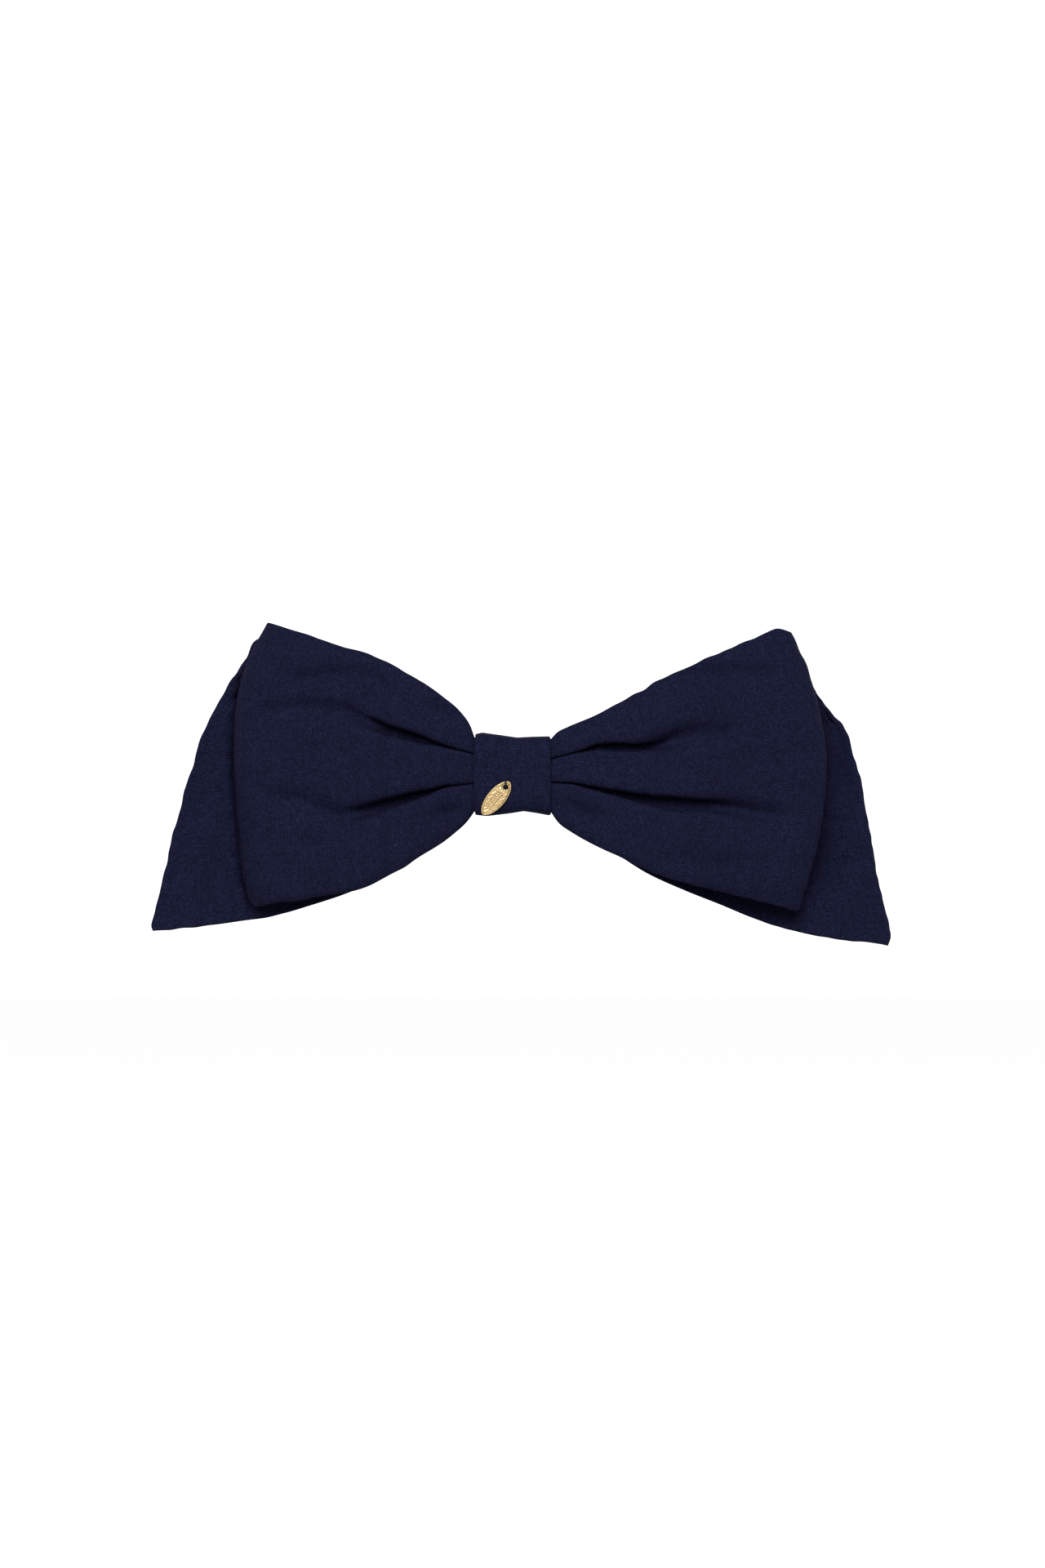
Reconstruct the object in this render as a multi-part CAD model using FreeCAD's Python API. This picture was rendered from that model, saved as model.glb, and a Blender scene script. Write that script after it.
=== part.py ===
"""Two-layer fabric bow on a spring barrette, in millimetres.

Frame: +X runs along the bow to the right as seen from the front, +Z up, and the front faces -Y.
The origin is the centre of the gap that the hair lies in, between the tension bar and the
clasp arm, behind the middle of the bow. From front (-Y) to back (+Y) the layers are: charm,
centre band, looped front bow, flat tail piece, barrette base, back run of the band, tension
bar, hair gap, clasp arm.
"""

import FreeCAD
import Part

import math
import os

V = FreeCAD.Vector

# ---- barrette -------------------------------------------------------------------------------
HAIR_GAP = 5.2                    # tension bar to clasp arm, at the middle
CLIP_HALF = 40.0                  # half the length of the base plate
BASE_RADIUS = 180.0               # the plate's back face is an arc of this radius
BASE_THICK = 0.8
BASE_HALF_WIDTH = 4.5
BASE_BACK = -6.5                  # y of the plate's back face at x = 0
EAR_TOE = 3.6                     # an ear's foot runs this far past the pin, towards the middle
BAR_THICK = 0.4
BAR_HALF_WIDTH = 2.0
BAR_RADIUS = 400.0
BAR_TRAVEL = 1.4                  # how far hair can press the bar towards the plate
ARM_THICK = 0.8
ARM_HALF_WIDTH = 2.8
ARM_RADIUS = 500.0
PIN_X = -37.5
PIN_RADIUS = 0.7
EYE_BORE = 0.75
EYE_RADIUS = 1.5
EYE_HALF = 2.9
EAR_IN, EAR_OUT = 3.1, 3.9        # z of an ear's inner and outer face
CATCH_X = 34.5                    # middle of the catch
CATCH_FLOOR = 0.5                 # thickness of the catch bracket's floor
FLOOR_HALF_WIDTH, FLOOR_END = 2.2, 3.0
RIVET_RADIUS, RIVET_HEAD, RIVET_SPREAD, RIVET_GAP = 0.7, 0.3, 0.15, 0.01
TAB_IN, TAB_OUT = 1.1, 1.7        # z of a catch tab's inner and outer face
TAB_CLEAR = 0.12                  # catch tabs to the bracket's floor
TAB_FOOT_TOP = 1.6                # y that the tab reaches between its leg and its wing
LEG_HALF = 1.9                    # half the leg's length along x
BARB_CLEAR, BARB_RISE, BARB_REACH = 0.3, 1.3, 2.5
WING_START, WING_END = 4.9, 8.4   # the finger wing, beyond the catch's middle along x
WING_FLARE, WING_FRONT, WING_ABOVE_ARM = 2.9, -1.6, 0.6
WINDOW_HALF = (2.5, 2.0)          # half size of the arm's window, along x and z
ARM_HEAD_HALF = (4.2, 3.3)        # half size of the wider end round the window
LUG_X = (-32.5, 28.8)             # where the two pairs of lugs hold the tension bar
LUG_Z = (2.3, 2.9)                # a lug's inner and outer face
LUG_HALF, SLOT_HALF, TANG_HALF = 1.5, 0.55, 0.4
SLOT_FRONT_SLACK, SLOT_BACK_SLACK = 0.1, 0.15
LUG_WALL = 0.7                    # metal behind a lug's slot
TANG_REACH = 3.3                  # half the tension bar's width across its tangs
BAR_END = 1.5                     # the bar runs this far past its tangs
SEW_X, SEW_Z, SEW_RADIUS, SEW_PITCH = 24.0, 2.9, 0.8, 0.42

# ---- bow --------------------------------------------------------------------------------------
BAND_HALF = 9.2                   # half the width of the centre band, along x
BAND_THICK = 1.2
BAND_HALF_HEIGHT = 9.6
BAND_CORNER = 2.0                 # outer radius of the band's four bends
PINCH_HALF_HEIGHT = 8.3           # the gathered fabric inside the band
PINCH_CORNER = 1.4
PINCH_X = BAND_HALF + 0.1         # the gathered middle ends just outside the band
LAYER_GAP = 0.2
PLATE_CLEAR = 0.5                 # base plate to tail piece
BEND_END = CLIP_HALF - 6.0        # the layers follow the plate's arc as far as this x
SETTLE = 12.0                     # and level off over about this length
TAIL_PINCH, TAIL_THICK = 3.0, 1.6
LOOP_PINCH = 6.8
STRIP_THICK = 1.4                 # one strip: fabric, interlining, fabric
LINING_THICK = 0.4
HEM = 1.4                         # the interlining stops this far inside the strip's edge
LOOP_REACH_LEFT, LOOP_REACH_RIGHT = 67.9, 76.2
VOID_START = 16.0                 # the loops open beyond this x
THREAD = 0.16                     # radius of a sewing thread
GATHER_THREAD, GATHER_PITCH, GATHER_CLEAR = 0.2, 0.5, 0.02
WAIST, WAIST_DEPTH = 2.6, 0.5     # groove for the gathering thread
BAND_STITCHES, BAND_STITCH_PITCH = 3, 2.4

# Outlines seen from the front, as (x, z). Each runs outwards from the band, round, and back.
FRONT_LEFT = {
    "top": [(-9.3, 9.8), (-12.6, 14.2), (-17.6, 19.3), (-25.0, 24.4), (-35.0, 29.1), (-47.6, 33.2),
            (-59.2, 36.9)],
    "end": [(-59.2, 36.9), (-62.6, 31.0), (-66.2, 22.0), (-67.9, 8.0), (-67.3, -6.0), (-65.6, -25.0),
            (-62.6, -33.2)],
    "bottom": [(-62.6, -33.2), (-50.0, -31.0), (-37.6, -28.0), (-25.9, -21.6), (-14.9, -14.4),
               (-9.3, -9.8)],
}
FRONT_RIGHT = {
    "top": [(9.3, 8.9), (19.2, 13.6), (36.0, 22.9), (54.0, 31.0), (63.6, 35.2), (67.8, 34.8)],
    "end": [(67.8, 34.8), (71.6, 26.0), (75.3, 15.0), (76.2, 1.0), (74.8, -15.0), (71.9, -27.2),
            (69.2, -34.2)],
    "bottom": [(69.2, -34.2), (55.2, -30.0), (42.0, -26.6), (24.0, -18.6), (15.0, -14.2), (9.3, -9.6)],
}
TAIL_LEFT = {
    "top": [(-9.3, 8.8), (-20.0, 19.4), (-40.0, 29.2), (-60.4, 34.6)],
    "end": [(-60.4, 34.6), (-67.4, 25.4), (-74.4, 13.6), (-79.2, 0.0), (-83.8, -16.0), (-87.4, -32.0),
            (-87.7, -37.9)],
    "bottom": [(-87.7, -37.9), (-66.9, -35.1), (-50.0, -32.0), (-36.0, -26.6), (-20.0, -16.6),
               (-9.3, -9.0)],
}
TAIL_RIGHT = {
    "top": [(9.3, 8.4), (30.0, 18.6), (50.0, 27.0), (69.4, 30.0)],
    "end": [(69.4, 30.0), (76.4, 17.8), (82.2, 10.4), (85.2, -0.6), (88.4, -19.0), (92.4, -36.6),
            (92.2, -41.6)],
    "bottom": [(92.2, -41.6), (80.9, -39.7), (71.3, -38.2), (50.4, -31.2), (30.0, -22.4), (9.3, -9.2)],
}
# How deep a loop is from front to back, as (share of its reach, depth).
LOOP_DEPTH = [(0.0, 6.8), (0.14, 9.8), (0.34, 14.0), (0.58, 15.2), (0.80, 13.0), (0.94, 8.2)]
LOOP_TIP = 3.9                    # the fold's tip, in front of the loop's back
LOOP_LIFT = 0.9                   # how much further the fold stands off the tail piece

# ---- charm ------------------------------------------------------------------------------------
CHARM_HALF_LENGTH, CHARM_HALF_WIDTH, CHARM_THICK = 5.1, 2.2, 0.8
CHARM_CENTRE = (-3.96, -5.62)     # x, z
CHARM_TILT = 40.3                 # degrees that it lies off the vertical
CHARM_EDGE, CHARM_LIP = 0.3, 0.35 # rounding of the front edge, and the raised rim round the hole
CHARM_HOLE_OFFSET, CHARM_HOLE = 3.5, 0.6
CHARM_CLEAR = 0.25
LOOP_RISE = 2.0                   # from the charm's hole up to where the thread leaves the band
THREAD_STAND_OFF = 1.6            # slack of the thread loop in front of the band
THREAD_CLEAR = 0.05               # the thread loop's ends to the band

FAR = 60.0                        # further out than anything, for cutting shapes

TAIL_BACK = BASE_BACK - BASE_THICK - PLATE_CLEAR
LOOP_BACK = TAIL_BACK - TAIL_PINCH - LAYER_GAP
LOOP_FRONT = LOOP_BACK - LOOP_PINCH
BAND_FRONT = LOOP_FRONT - LAYER_GAP - BAND_THICK
BAND_BACK = BASE_BACK + 2 * LAYER_GAP + BAND_THICK
PIN_Y = HAIR_GAP / 2 + PIN_X ** 2 / (2 * ARM_RADIUS) + ARM_THICK / 2


# ---- helpers ----------------------------------------------------------------------------------
def curve(points):
    """One edge through the points: a line through two, a spline through more."""
    if len(points) == 2:
        return Part.makeLine(points[0], points[1])
    spline = Part.BSplineCurve()
    spline.interpolate(points)
    return spline.toShape()


def closed_wire(runs):
    """A closed wire from runs of points, with a line wherever one run doesn't meet the next."""
    edges = []
    for i, run in enumerate(runs):
        edges.append(curve(run))
        following = runs[(i + 1) % len(runs)][0]
        if run[-1].distanceToPoint(following) > 1e-6:
            edges.append(Part.makeLine(run[-1], following))
    return Part.Wire(edges)


def plate(runs, direction):
    """The closed wire's face, extruded by the vector."""
    return Part.Face(closed_wire(runs)).extrude(direction)


def block(x, y, z):
    """A box between two x, two y and two z."""
    return Part.makeBox(x[1] - x[0], y[1] - y[0], z[1] - z[0], V(x[0], y[0], z[0]))


def rod(start, end, radius):
    return Part.makeCylinder(radius, (end - start).Length, start, end - start)


def arc_strip(radius, back, thick, x, z):
    """A curved strip: its back face is an arc of that radius, at y = back where x = 0."""
    centre = V(0, back + radius, z[0])
    outer = Part.makeCylinder(radius + thick, z[1] - z[0], centre, V(0, 0, 1))
    inner = Part.makeCylinder(radius, z[1] - z[0], centre, V(0, 0, 1))
    return outer.cut(inner).common(block(x, (back - thick - 1, back + 20), z))


def on_plate(shape, x):
    """Moves a shape made at x = 0 round the base plate's arc, so that it sits square on it."""
    angle = math.degrees(math.asin(x / BASE_RADIUS))
    moved = shape.copy()
    moved.rotate(V(0, BASE_BACK + BASE_RADIUS, 0), V(0, 0, 1), angle)
    return moved


def seat(x):
    """How far the layers curve back at x: round the plate's arc, then levelling off."""
    reach = abs(x)
    if reach <= BEND_END:
        return reach ** 2 / (2 * BASE_RADIUS)
    levelled = SETTLE * (1 - math.exp((BEND_END - reach) / SETTLE))
    return (BEND_END / 2 + levelled) * BEND_END / BASE_RADIUS


def plate_back(x):
    return BASE_BACK + x ** 2 / (2 * BASE_RADIUS)


def rounded(x, y, z, corner):
    """A box whose four edges along X are rounded."""
    box = block(x, y, z)
    return box.makeFillet(corner, [e for e in box.Edges if abs(e.tangentAt(e.FirstParameter).x) > 0.9])


def ring(y, z, thick, x, corner):
    """A rectangular ring round the X axis with rounded corners, between two x."""
    outer = rounded(x, y, z, corner)
    past = (x[0] - 1, x[1] + 1)
    inner = rounded(past, (y[0] + thick, y[1] - thick), (z[0] + thick, z[1] - thick), corner - thick)
    return outer.cut(inner)


def arm_front(x):
    return HAIR_GAP / 2 + x ** 2 / (2 * ARM_RADIUS)


def bar_back(x):
    return -HAIR_GAP / 2 + x ** 2 / (2 * BAR_RADIUS)


# ---- bow --------------------------------------------------------------------------------------
def slab(runs):
    """The face inside runs of (x, z), extruded right through the bow along Y."""
    return plate([[V(x, -FAR, z) for x, z in run] for run in runs], V(0, 2 * FAR, 0))


def bow_outline(left, right):
    """The whole front outline of one layer of the bow."""
    sides = [left["top"], left["end"], left["bottom"]]
    sides += [[(-PINCH_X, -PINCH_HALF_HEIGHT), (PINCH_X, -PINCH_HALF_HEIGHT)]]
    sides += [right["bottom"][::-1], right["end"][::-1], right["top"][::-1]]
    sides += [[(PINCH_X, PINCH_HALF_HEIGHT), (-PINCH_X, PINCH_HALF_HEIGHT)]]
    return slab(sides)


def inside_end(side, end, inset):
    """Everything between the middle and an end edge that is moved inwards by the inset."""
    moved = [(x - side * inset, z) for x, z in end]
    return slab([[(0, FAR), (moved[0][0], FAR)], moved, [(moved[-1][0], -FAR), (0, -FAR)]])


def between_edges(side, shape, inset):
    """Everything between the top and bottom edges, each moved inwards by the inset."""
    upper = [(x, z - inset) for x, z in shape["top"]]
    lower = [(x, z + inset) for x, z in shape["bottom"]]
    return slab([upper, [(side * 2 * FAR, upper[-1][1]), (side * 2 * FAR, lower[0][1])], lower])


def tail_thick(x):
    return TAIL_THICK + (TAIL_PINCH - TAIL_THICK) * math.exp(-(x / 14.0) ** 4)


def tail_back(x):
    return TAIL_BACK + seat(x)


def tail_front(x):
    return tail_back(x) - tail_thick(x)


def tail_lining_back(x):
    return tail_back(x) - (tail_thick(x) - LINING_THICK) / 2


def tail_lining_front(x):
    return tail_lining_back(x) - LINING_THICK


def loop_path(reach, inset):
    """Half a loop seen from above, from the pinch along the front, round the fold and back."""
    back = [(PINCH_X + (reach - PINCH_X) * share, depth) for share, depth in LOOP_DEPTH]
    loop_back = []
    for (x, _), (share, _) in zip(back, LOOP_DEPTH):
        loop_back.append((x, tail_front(x) - LAYER_GAP - LOOP_LIFT * share ** 2))
    front = [(x, y - depth) for (x, y), (_, depth) in zip(loop_back, back)]
    tip = (reach, loop_back[-1][1] - LOOP_TIP)
    path = front + [tip] + loop_back[::-1]
    moved = []
    for i, (x, y) in enumerate(path):
        before, after = path[max(i - 1, 0)], path[min(i + 1, len(path) - 1)]
        along = V(after[0] - before[0], after[1] - before[1], 0).normalize()
        moved.append((x - along.y * inset, y + along.x * inset))
    return moved


def loop_body(side, shape, reach, inset, start):
    """What lies inside a loop, this far in from its path and its end, beyond x = start."""
    path = [V(side * x, y, -FAR) for x, y in loop_path(reach, inset)]
    body = plate([path], V(0, 0, 2 * FAR))
    x = sorted((side * start, side * 2 * FAR))
    return body.common(block(x, (-FAR, FAR), (-FAR, FAR))).common(inside_end(side, shape["end"], inset))


def pinch(y):
    """The gathered middle of a layer between two y, with a groove round it for its thread."""
    x, z = (-PINCH_X, PINCH_X), (-PINCH_HALF_HEIGHT, PINCH_HALF_HEIGHT)
    corner = min(PINCH_CORNER, (y[1] - y[0]) / 3)
    core_y = (y[0] + WAIST_DEPTH, y[1] - WAIST_DEPTH)
    core_z = (z[0] + WAIST_DEPTH, z[1] - WAIST_DEPTH)
    groove = block((-WAIST, WAIST), (-FAR, FAR), (-FAR, FAR))
    groove = groove.cut(rounded((-WAIST, WAIST), core_y, core_z, corner - WAIST_DEPTH))
    return rounded(x, y, z, corner).cut(groove)


def gathering_thread(y):
    """Turns of thread that fill the groove round a gathered middle."""
    corner = min(PINCH_CORNER, (y[1] - y[0]) / 3)
    thick = 2 * GATHER_THREAD
    inset = WAIST_DEPTH - thick - GATHER_CLEAR
    z = (inset - PINCH_HALF_HEIGHT, PINCH_HALF_HEIGHT - inset)
    y = (y[0] + inset, y[1] - inset)
    turns = int(2 * WAIST / GATHER_PITCH) - 1
    rings = []
    for i in range(turns):
        x = (i - (turns - 1) / 2) * GATHER_PITCH
        rings.append(ring(y, z, thick, (x - GATHER_THREAD, x + GATHER_THREAD), corner - inset))
    return Part.makeCompound(rings)


def loop(side, shape, reach):
    """One loop of the strip, and the interlining inside it."""
    layer = (STRIP_THICK - LINING_THICK) / 2
    outer = loop_body(side, shape, reach, 0.0, PINCH_X)
    hollow = loop_body(side, shape, reach, STRIP_THICK, VOID_START)
    strip = outer.common(between_edges(side, shape, 0.0)).cut(hollow)
    lining = loop_body(side, shape, reach, layer, PINCH_X + HEM)
    lining = lining.cut(loop_body(side, shape, reach, layer + LINING_THICK, PINCH_X))
    lining = lining.common(between_edges(side, shape, HEM))
    return strip.cut(lining), lining


def front_bow():
    """The looped front strip and the interlining sewn inside it."""
    left, left_lining = loop(-1, FRONT_LEFT, LOOP_REACH_LEFT)
    right, right_lining = loop(1, FRONT_RIGHT, LOOP_REACH_RIGHT)
    fabric = pinch((LOOP_FRONT, LOOP_BACK)).fuse(left).fuse(right)
    return fabric.removeSplitter(), Part.makeCompound(left_lining.Solids + right_lining.Solids)


def between(front, back, x):
    """The space between two curves y(x) seen from above, tall enough for any outline."""
    stations = [x[0] + (x[1] - x[0]) * i / 16 for i in range(17)]
    near = [V(s, front(s), -FAR) for s in stations]
    far = [V(s, back(s), -FAR) for s in reversed(stations)]
    return plate([near, far], V(0, 0, 2 * FAR))


def tail_sheet(front, back):
    """Both tails between two curves seen from above, beyond the gathered middle."""
    sheet = between(front, back, (-2 * FAR, 2 * FAR))
    return sheet.cut(block((-PINCH_X, PINCH_X), (-FAR, FAR), (-FAR, FAR)))


def tail_piece():
    """The flat tail piece behind the loops, and its interlining, one piece in each tail."""
    fabric = tail_sheet(tail_front, tail_back).common(bow_outline(TAIL_LEFT, TAIL_RIGHT))
    fabric = fabric.fuse(pinch((TAIL_BACK - TAIL_PINCH, TAIL_BACK)))
    linings = []
    for side, shape in ((-1, TAIL_LEFT), (1, TAIL_RIGHT)):
        lining = tail_sheet(tail_lining_front, tail_lining_back)
        lining = lining.common(between_edges(side, shape, HEM))
        lining = lining.common(inside_end(side, shape["end"], HEM))
        x = sorted((side * (PINCH_X + HEM), side * 2 * FAR))
        linings += lining.common(block(x, (-FAR, FAR), (-FAR, FAR))).Solids
    linings = Part.makeCompound(linings)
    return fabric.cut(linings).removeSplitter(), linings


def centre_band():
    """The band round the middle of the bow and the base plate, and its interlining."""
    y, z = (BAND_FRONT, BAND_BACK), (-BAND_HALF_HEIGHT, BAND_HALF_HEIGHT)
    band = ring(y, z, BAND_THICK, (-BAND_HALF, BAND_HALF), BAND_CORNER)
    inset = (BAND_THICK - LINING_THICK) / 2
    y, z = (y[0] + inset, y[1] - inset), (z[0] + inset, z[1] - inset)
    lining = ring(y, z, LINING_THICK, (HEM - BAND_HALF, BAND_HALF - HEM), BAND_CORNER - inset)
    return band.cut(lining), lining


def band_stitches():
    """Slanted whip stitches that close the band at the back."""
    stitches = []
    for i in range(-BAND_STITCHES, BAND_STITCHES + 1):
        x = i * BAND_STITCH_PITCH
        slant, half = BAND_STITCH_PITCH / 6, BAND_STITCH_PITCH / 2
        stitches.append(rod(V(x - slant, BAND_BACK, -half), V(x + slant, BAND_BACK, half), THREAD))
    return Part.makeCompound(stitches)


# ---- barrette ---------------------------------------------------------------------------------
def lugs(x):
    """A pair of slotted lugs that an end of the tension bar slides in."""
    slot_front = bar_back(x) - BAR_THICK - BAR_TRAVEL - SLOT_FRONT_SLACK
    slot_y = (slot_front, bar_back(x) + SLOT_BACK_SLACK)
    slot = block((x - SLOT_HALF, x + SLOT_HALF), slot_y, (-FAR, FAR))
    y = (plate_back(x) - BASE_THICK / 2, slot_y[1] + LUG_WALL)
    upper = block((x - LUG_HALF, x + LUG_HALF), y, LUG_Z)
    lower = block((x - LUG_HALF, x + LUG_HALF), y, (-LUG_Z[1], -LUG_Z[0]))
    return upper.fuse(lower).cut(slot)


def ear(side):
    """One of the two ears that hold the hinge pin."""
    z = sorted((side * EAR_IN, side * EAR_OUT))
    foot = plate_back(PIN_X) - BASE_THICK / 2
    half, toe = EYE_RADIUS + 0.1, PIN_X + EAR_TOE
    corners = [V(PIN_X - half, foot, z[0]), V(toe, foot, z[0])]
    corners += [V(PIN_X + half, PIN_Y, z[0]), V(PIN_X - half, PIN_Y, z[0])]
    web = Part.Face(Part.makePolygon(corners + corners[:1])).extrude(V(0, 0, z[1] - z[0]))
    return web.fuse(rod(V(PIN_X, PIN_Y, z[0]), V(PIN_X, PIN_Y, z[1]), half))


def rounded_end_blank(x, half_width, corner):
    """A flat blank with rounded corners, right through the bow along Y."""
    blank = block(x, (-FAR, FAR), (-half_width, half_width))
    return blank.makeFillet(corner, [e for e in blank.Edges if abs(e.tangentAt(e.FirstParameter).y) > 0.9])


def pin_rod(radius, half):
    return rod(V(PIN_X, PIN_Y, -half), V(PIN_X, PIN_Y, half), radius)


def plate_hole(x, z, radius):
    """A drill through the base plate, square to it."""
    return on_plate(rod(V(0, BASE_BACK - 2 * BASE_THICK, z), V(0, BASE_BACK + BASE_THICK, z), radius), x)


def barrette_base():
    """The curved base plate with its hinge ears, bar lugs, sewing holes and rivet hole."""
    x, z = (-CLIP_HALF, CLIP_HALF), (-BASE_HALF_WIDTH, BASE_HALF_WIDTH)
    base = arc_strip(BASE_RADIUS, BASE_BACK, BASE_THICK, x, z)
    base = base.common(rounded_end_blank(x, BASE_HALF_WIDTH, BASE_HALF_WIDTH * 2 / 3))
    for piece in (ear(1), ear(-1), lugs(LUG_X[0]), lugs(LUG_X[1])):
        base = base.fuse(piece)
    for side_x in (-SEW_X, SEW_X):
        for side_z in (-SEW_Z, SEW_Z):
            base = base.cut(plate_hole(side_x, side_z, SEW_RADIUS))
    return base.cut(plate_hole(CATCH_X, 0, RIVET_RADIUS)).cut(pin_rod(PIN_RADIUS, FAR)).removeSplitter()


def hinge_pin():
    """The pin, with a small head at each end."""
    head = EAR_OUT + RIVET_HEAD
    heads = pin_rod(EYE_BORE + RIVET_HEAD, head).cut(pin_rod(FAR, EAR_OUT))
    return pin_rod(PIN_RADIUS, head).fuse(heads)


def clasp_arm():
    """The arm that closes behind the hair: a rolled eye, a curved strip and a latch window."""
    inner, back = ARM_RADIUS - ARM_THICK, HAIR_GAP / 2 + ARM_THICK
    (half_x, half_z), (head_x, head_z) = WINDOW_HALF, ARM_HEAD_HALF
    x, z = (PIN_X + EYE_BORE, CATCH_X - half_x), (-ARM_HALF_WIDTH, ARM_HALF_WIDTH)
    strip = arc_strip(inner, back, ARM_THICK, x, z)
    x = (CATCH_X - head_x, CATCH_X + head_x)
    head = arc_strip(inner, back, ARM_THICK, x, (-head_z, head_z))
    head = head.common(rounded_end_blank(x, head_z, head_z / 2))
    window = block((CATCH_X - half_x, CATCH_X + half_x), (-FAR, FAR), (-half_z, half_z))
    arm = strip.fuse(head).fuse(pin_rod(EYE_RADIUS, EYE_HALF))
    return arm.cut(pin_rod(EYE_BORE, FAR)).cut(window).removeSplitter()


def tension_bar():
    """The thin bowed bar that presses the hair against the arm, with tangs at each end."""
    x, z = (LUG_X[0] - BAR_END, LUG_X[1] + BAR_END), (-BAR_HALF_WIDTH, BAR_HALF_WIDTH)
    bar = arc_strip(BAR_RADIUS, -HAIR_GAP / 2, BAR_THICK, x, z)
    for lug_x in LUG_X:
        x, z = (lug_x - TANG_HALF, lug_x + TANG_HALF), (-TANG_REACH, TANG_REACH)
        bar = bar.fuse(arc_strip(BAR_RADIUS, -HAIR_GAP / 2, BAR_THICK, x, z))
    return bar.removeSplitter()


def catch_bracket():
    """The floor of the catch, which lies on the base plate."""
    x = (CATCH_X - LEG_HALF - TAB_OUT + TAB_IN, CATCH_X + FLOOR_END)
    z = (-FLOOR_HALF_WIDTH, FLOOR_HALF_WIDTH)
    floor = arc_strip(BASE_RADIUS - CATCH_FLOOR, BASE_BACK + CATCH_FLOOR, CATCH_FLOOR, x, z)
    return floor.cut(plate_hole(CATCH_X, 0, RIVET_RADIUS))


def catch_rivet():
    """The rivet that holds the catch bracket to the plate."""
    front, back = BASE_BACK - BASE_THICK, BASE_BACK + CATCH_FLOOR
    rivet = rod(V(0, front - RIVET_HEAD, 0), V(0, back + RIVET_HEAD, 0), RIVET_RADIUS)
    rivet = rivet.fuse(rod(V(0, front - RIVET_HEAD, 0), V(0, front, 0), 2 * RIVET_RADIUS))
    spread = RIVET_RADIUS + RIVET_SPREAD
    rivet = rivet.fuse(rod(V(0, back + RIVET_GAP, 0), V(0, back + RIVET_HEAD, 0), spread))
    return on_plate(rivet, CATCH_X)


def catch_tab(side):
    """A sprung tab: a leg with a barb through the arm's window, and a flared finger wing."""
    arm_back = arm_front(CATCH_X) + ARM_THICK
    start, end = CATCH_X - LEG_HALF, CATCH_X + LEG_HALF
    bend, tip = CATCH_X + WING_START, CATCH_X + WING_END
    corners = [(start, TAB_IN), (bend, TAB_IN), (tip, TAB_IN + WING_FLARE)]
    corners += [(x, z + TAB_OUT - TAB_IN) for x, z in reversed(corners)]
    sheet = slab([[here, there] for here, there in zip(corners, corners[1:] + corners[:1])])
    z = (0, FAR)
    leg = block((start, end), (-FAR, arm_back + BARB_RISE), z)
    foot = block((start, bend), (-FAR, TAB_FOOT_TOP), z)
    wing = block((bend, tip + 1), (WING_FRONT, arm_back + WING_ABOVE_ARM), z)
    tab = sheet.common(leg.fuse(foot).fuse(wing))
    low, top = arm_back + BARB_CLEAR, arm_back + BARB_RISE
    hook = [V(start, low, TAB_IN), V(start, low, BARB_REACH), V(start, top, TAB_OUT), V(start, top, TAB_IN)]
    barb = Part.Face(Part.makePolygon(hook + hook[:1])).extrude(V(end - start, 0, 0))
    floor = BASE_RADIUS - CATCH_FLOOR - TAB_CLEAR
    above_floor = Part.makeCylinder(floor, 2 * FAR, V(0, BASE_BACK + BASE_RADIUS, -FAR), V(0, 0, 1))
    tab = tab.fuse(barb).common(above_floor).removeSplitter()
    return tab if side > 0 else tab.mirror(V(0, 0, 0), V(0, 0, 1))


def sewing_stitches(x):
    """Loops of thread through the plate's sewing holes, round its edge and into the tail piece."""
    loops = []
    y = (plate_back(x) - BASE_THICK - PLATE_CLEAR - 2 * THREAD, plate_back(x) + 3 * THREAD)
    inner, outer = SEW_Z - THREAD, BASE_HALF_WIDTH + 4 * THREAD
    for turn in (-1, 0, 1):
        at = (x + turn * SEW_PITCH - THREAD, x + turn * SEW_PITCH + THREAD)
        for z in ((inner, outer), (-outer, -inner)):
            loops.append(ring(y, z, 2 * THREAD, at, 3 * THREAD))
    return Part.makeCompound(loops)


# ---- charm ------------------------------------------------------------------------------------
def charm_hole():
    """The x and z of the hole's centre."""
    lean, (x, z) = math.radians(CHARM_TILT), CHARM_CENTRE
    return x + CHARM_HOLE_OFFSET * math.sin(lean), z + CHARM_HOLE_OFFSET * math.cos(lean)


def charm_tag():
    """The oval tag: a flat back, a rounded front edge and a hole with a raised lip."""
    ellipse = Part.Ellipse(V(0, 0, 0), CHARM_HALF_LENGTH, CHARM_HALF_WIDTH).toShape()
    tag = Part.Face(Part.Wire(ellipse)).extrude(V(0, 0, CHARM_THICK))
    tag = tag.makeFillet(CHARM_EDGE, [e for e in tag.Edges if e.BoundBox.ZMin > CHARM_THICK / 2])
    centre, proud = V(CHARM_HOLE_OFFSET, 0, 0), CHARM_THICK + CHARM_EDGE / 3
    tag = tag.fuse(rod(centre, centre + V(0, 0, proud), CHARM_HOLE + CHARM_LIP))
    tag = tag.cut(rod(centre - V(0, 0, 1), centre + V(0, 0, 2), CHARM_HOLE))
    tag.rotate(V(0, 0, 0), V(1, 0, 0), 90)
    tag.rotate(V(0, 0, 0), V(0, 1, 0), CHARM_TILT - 90)
    tag.translate(V(CHARM_CENTRE[0], BAND_FRONT - CHARM_CLEAR, CHARM_CENTRE[1]))
    return tag.removeSplitter()


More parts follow.
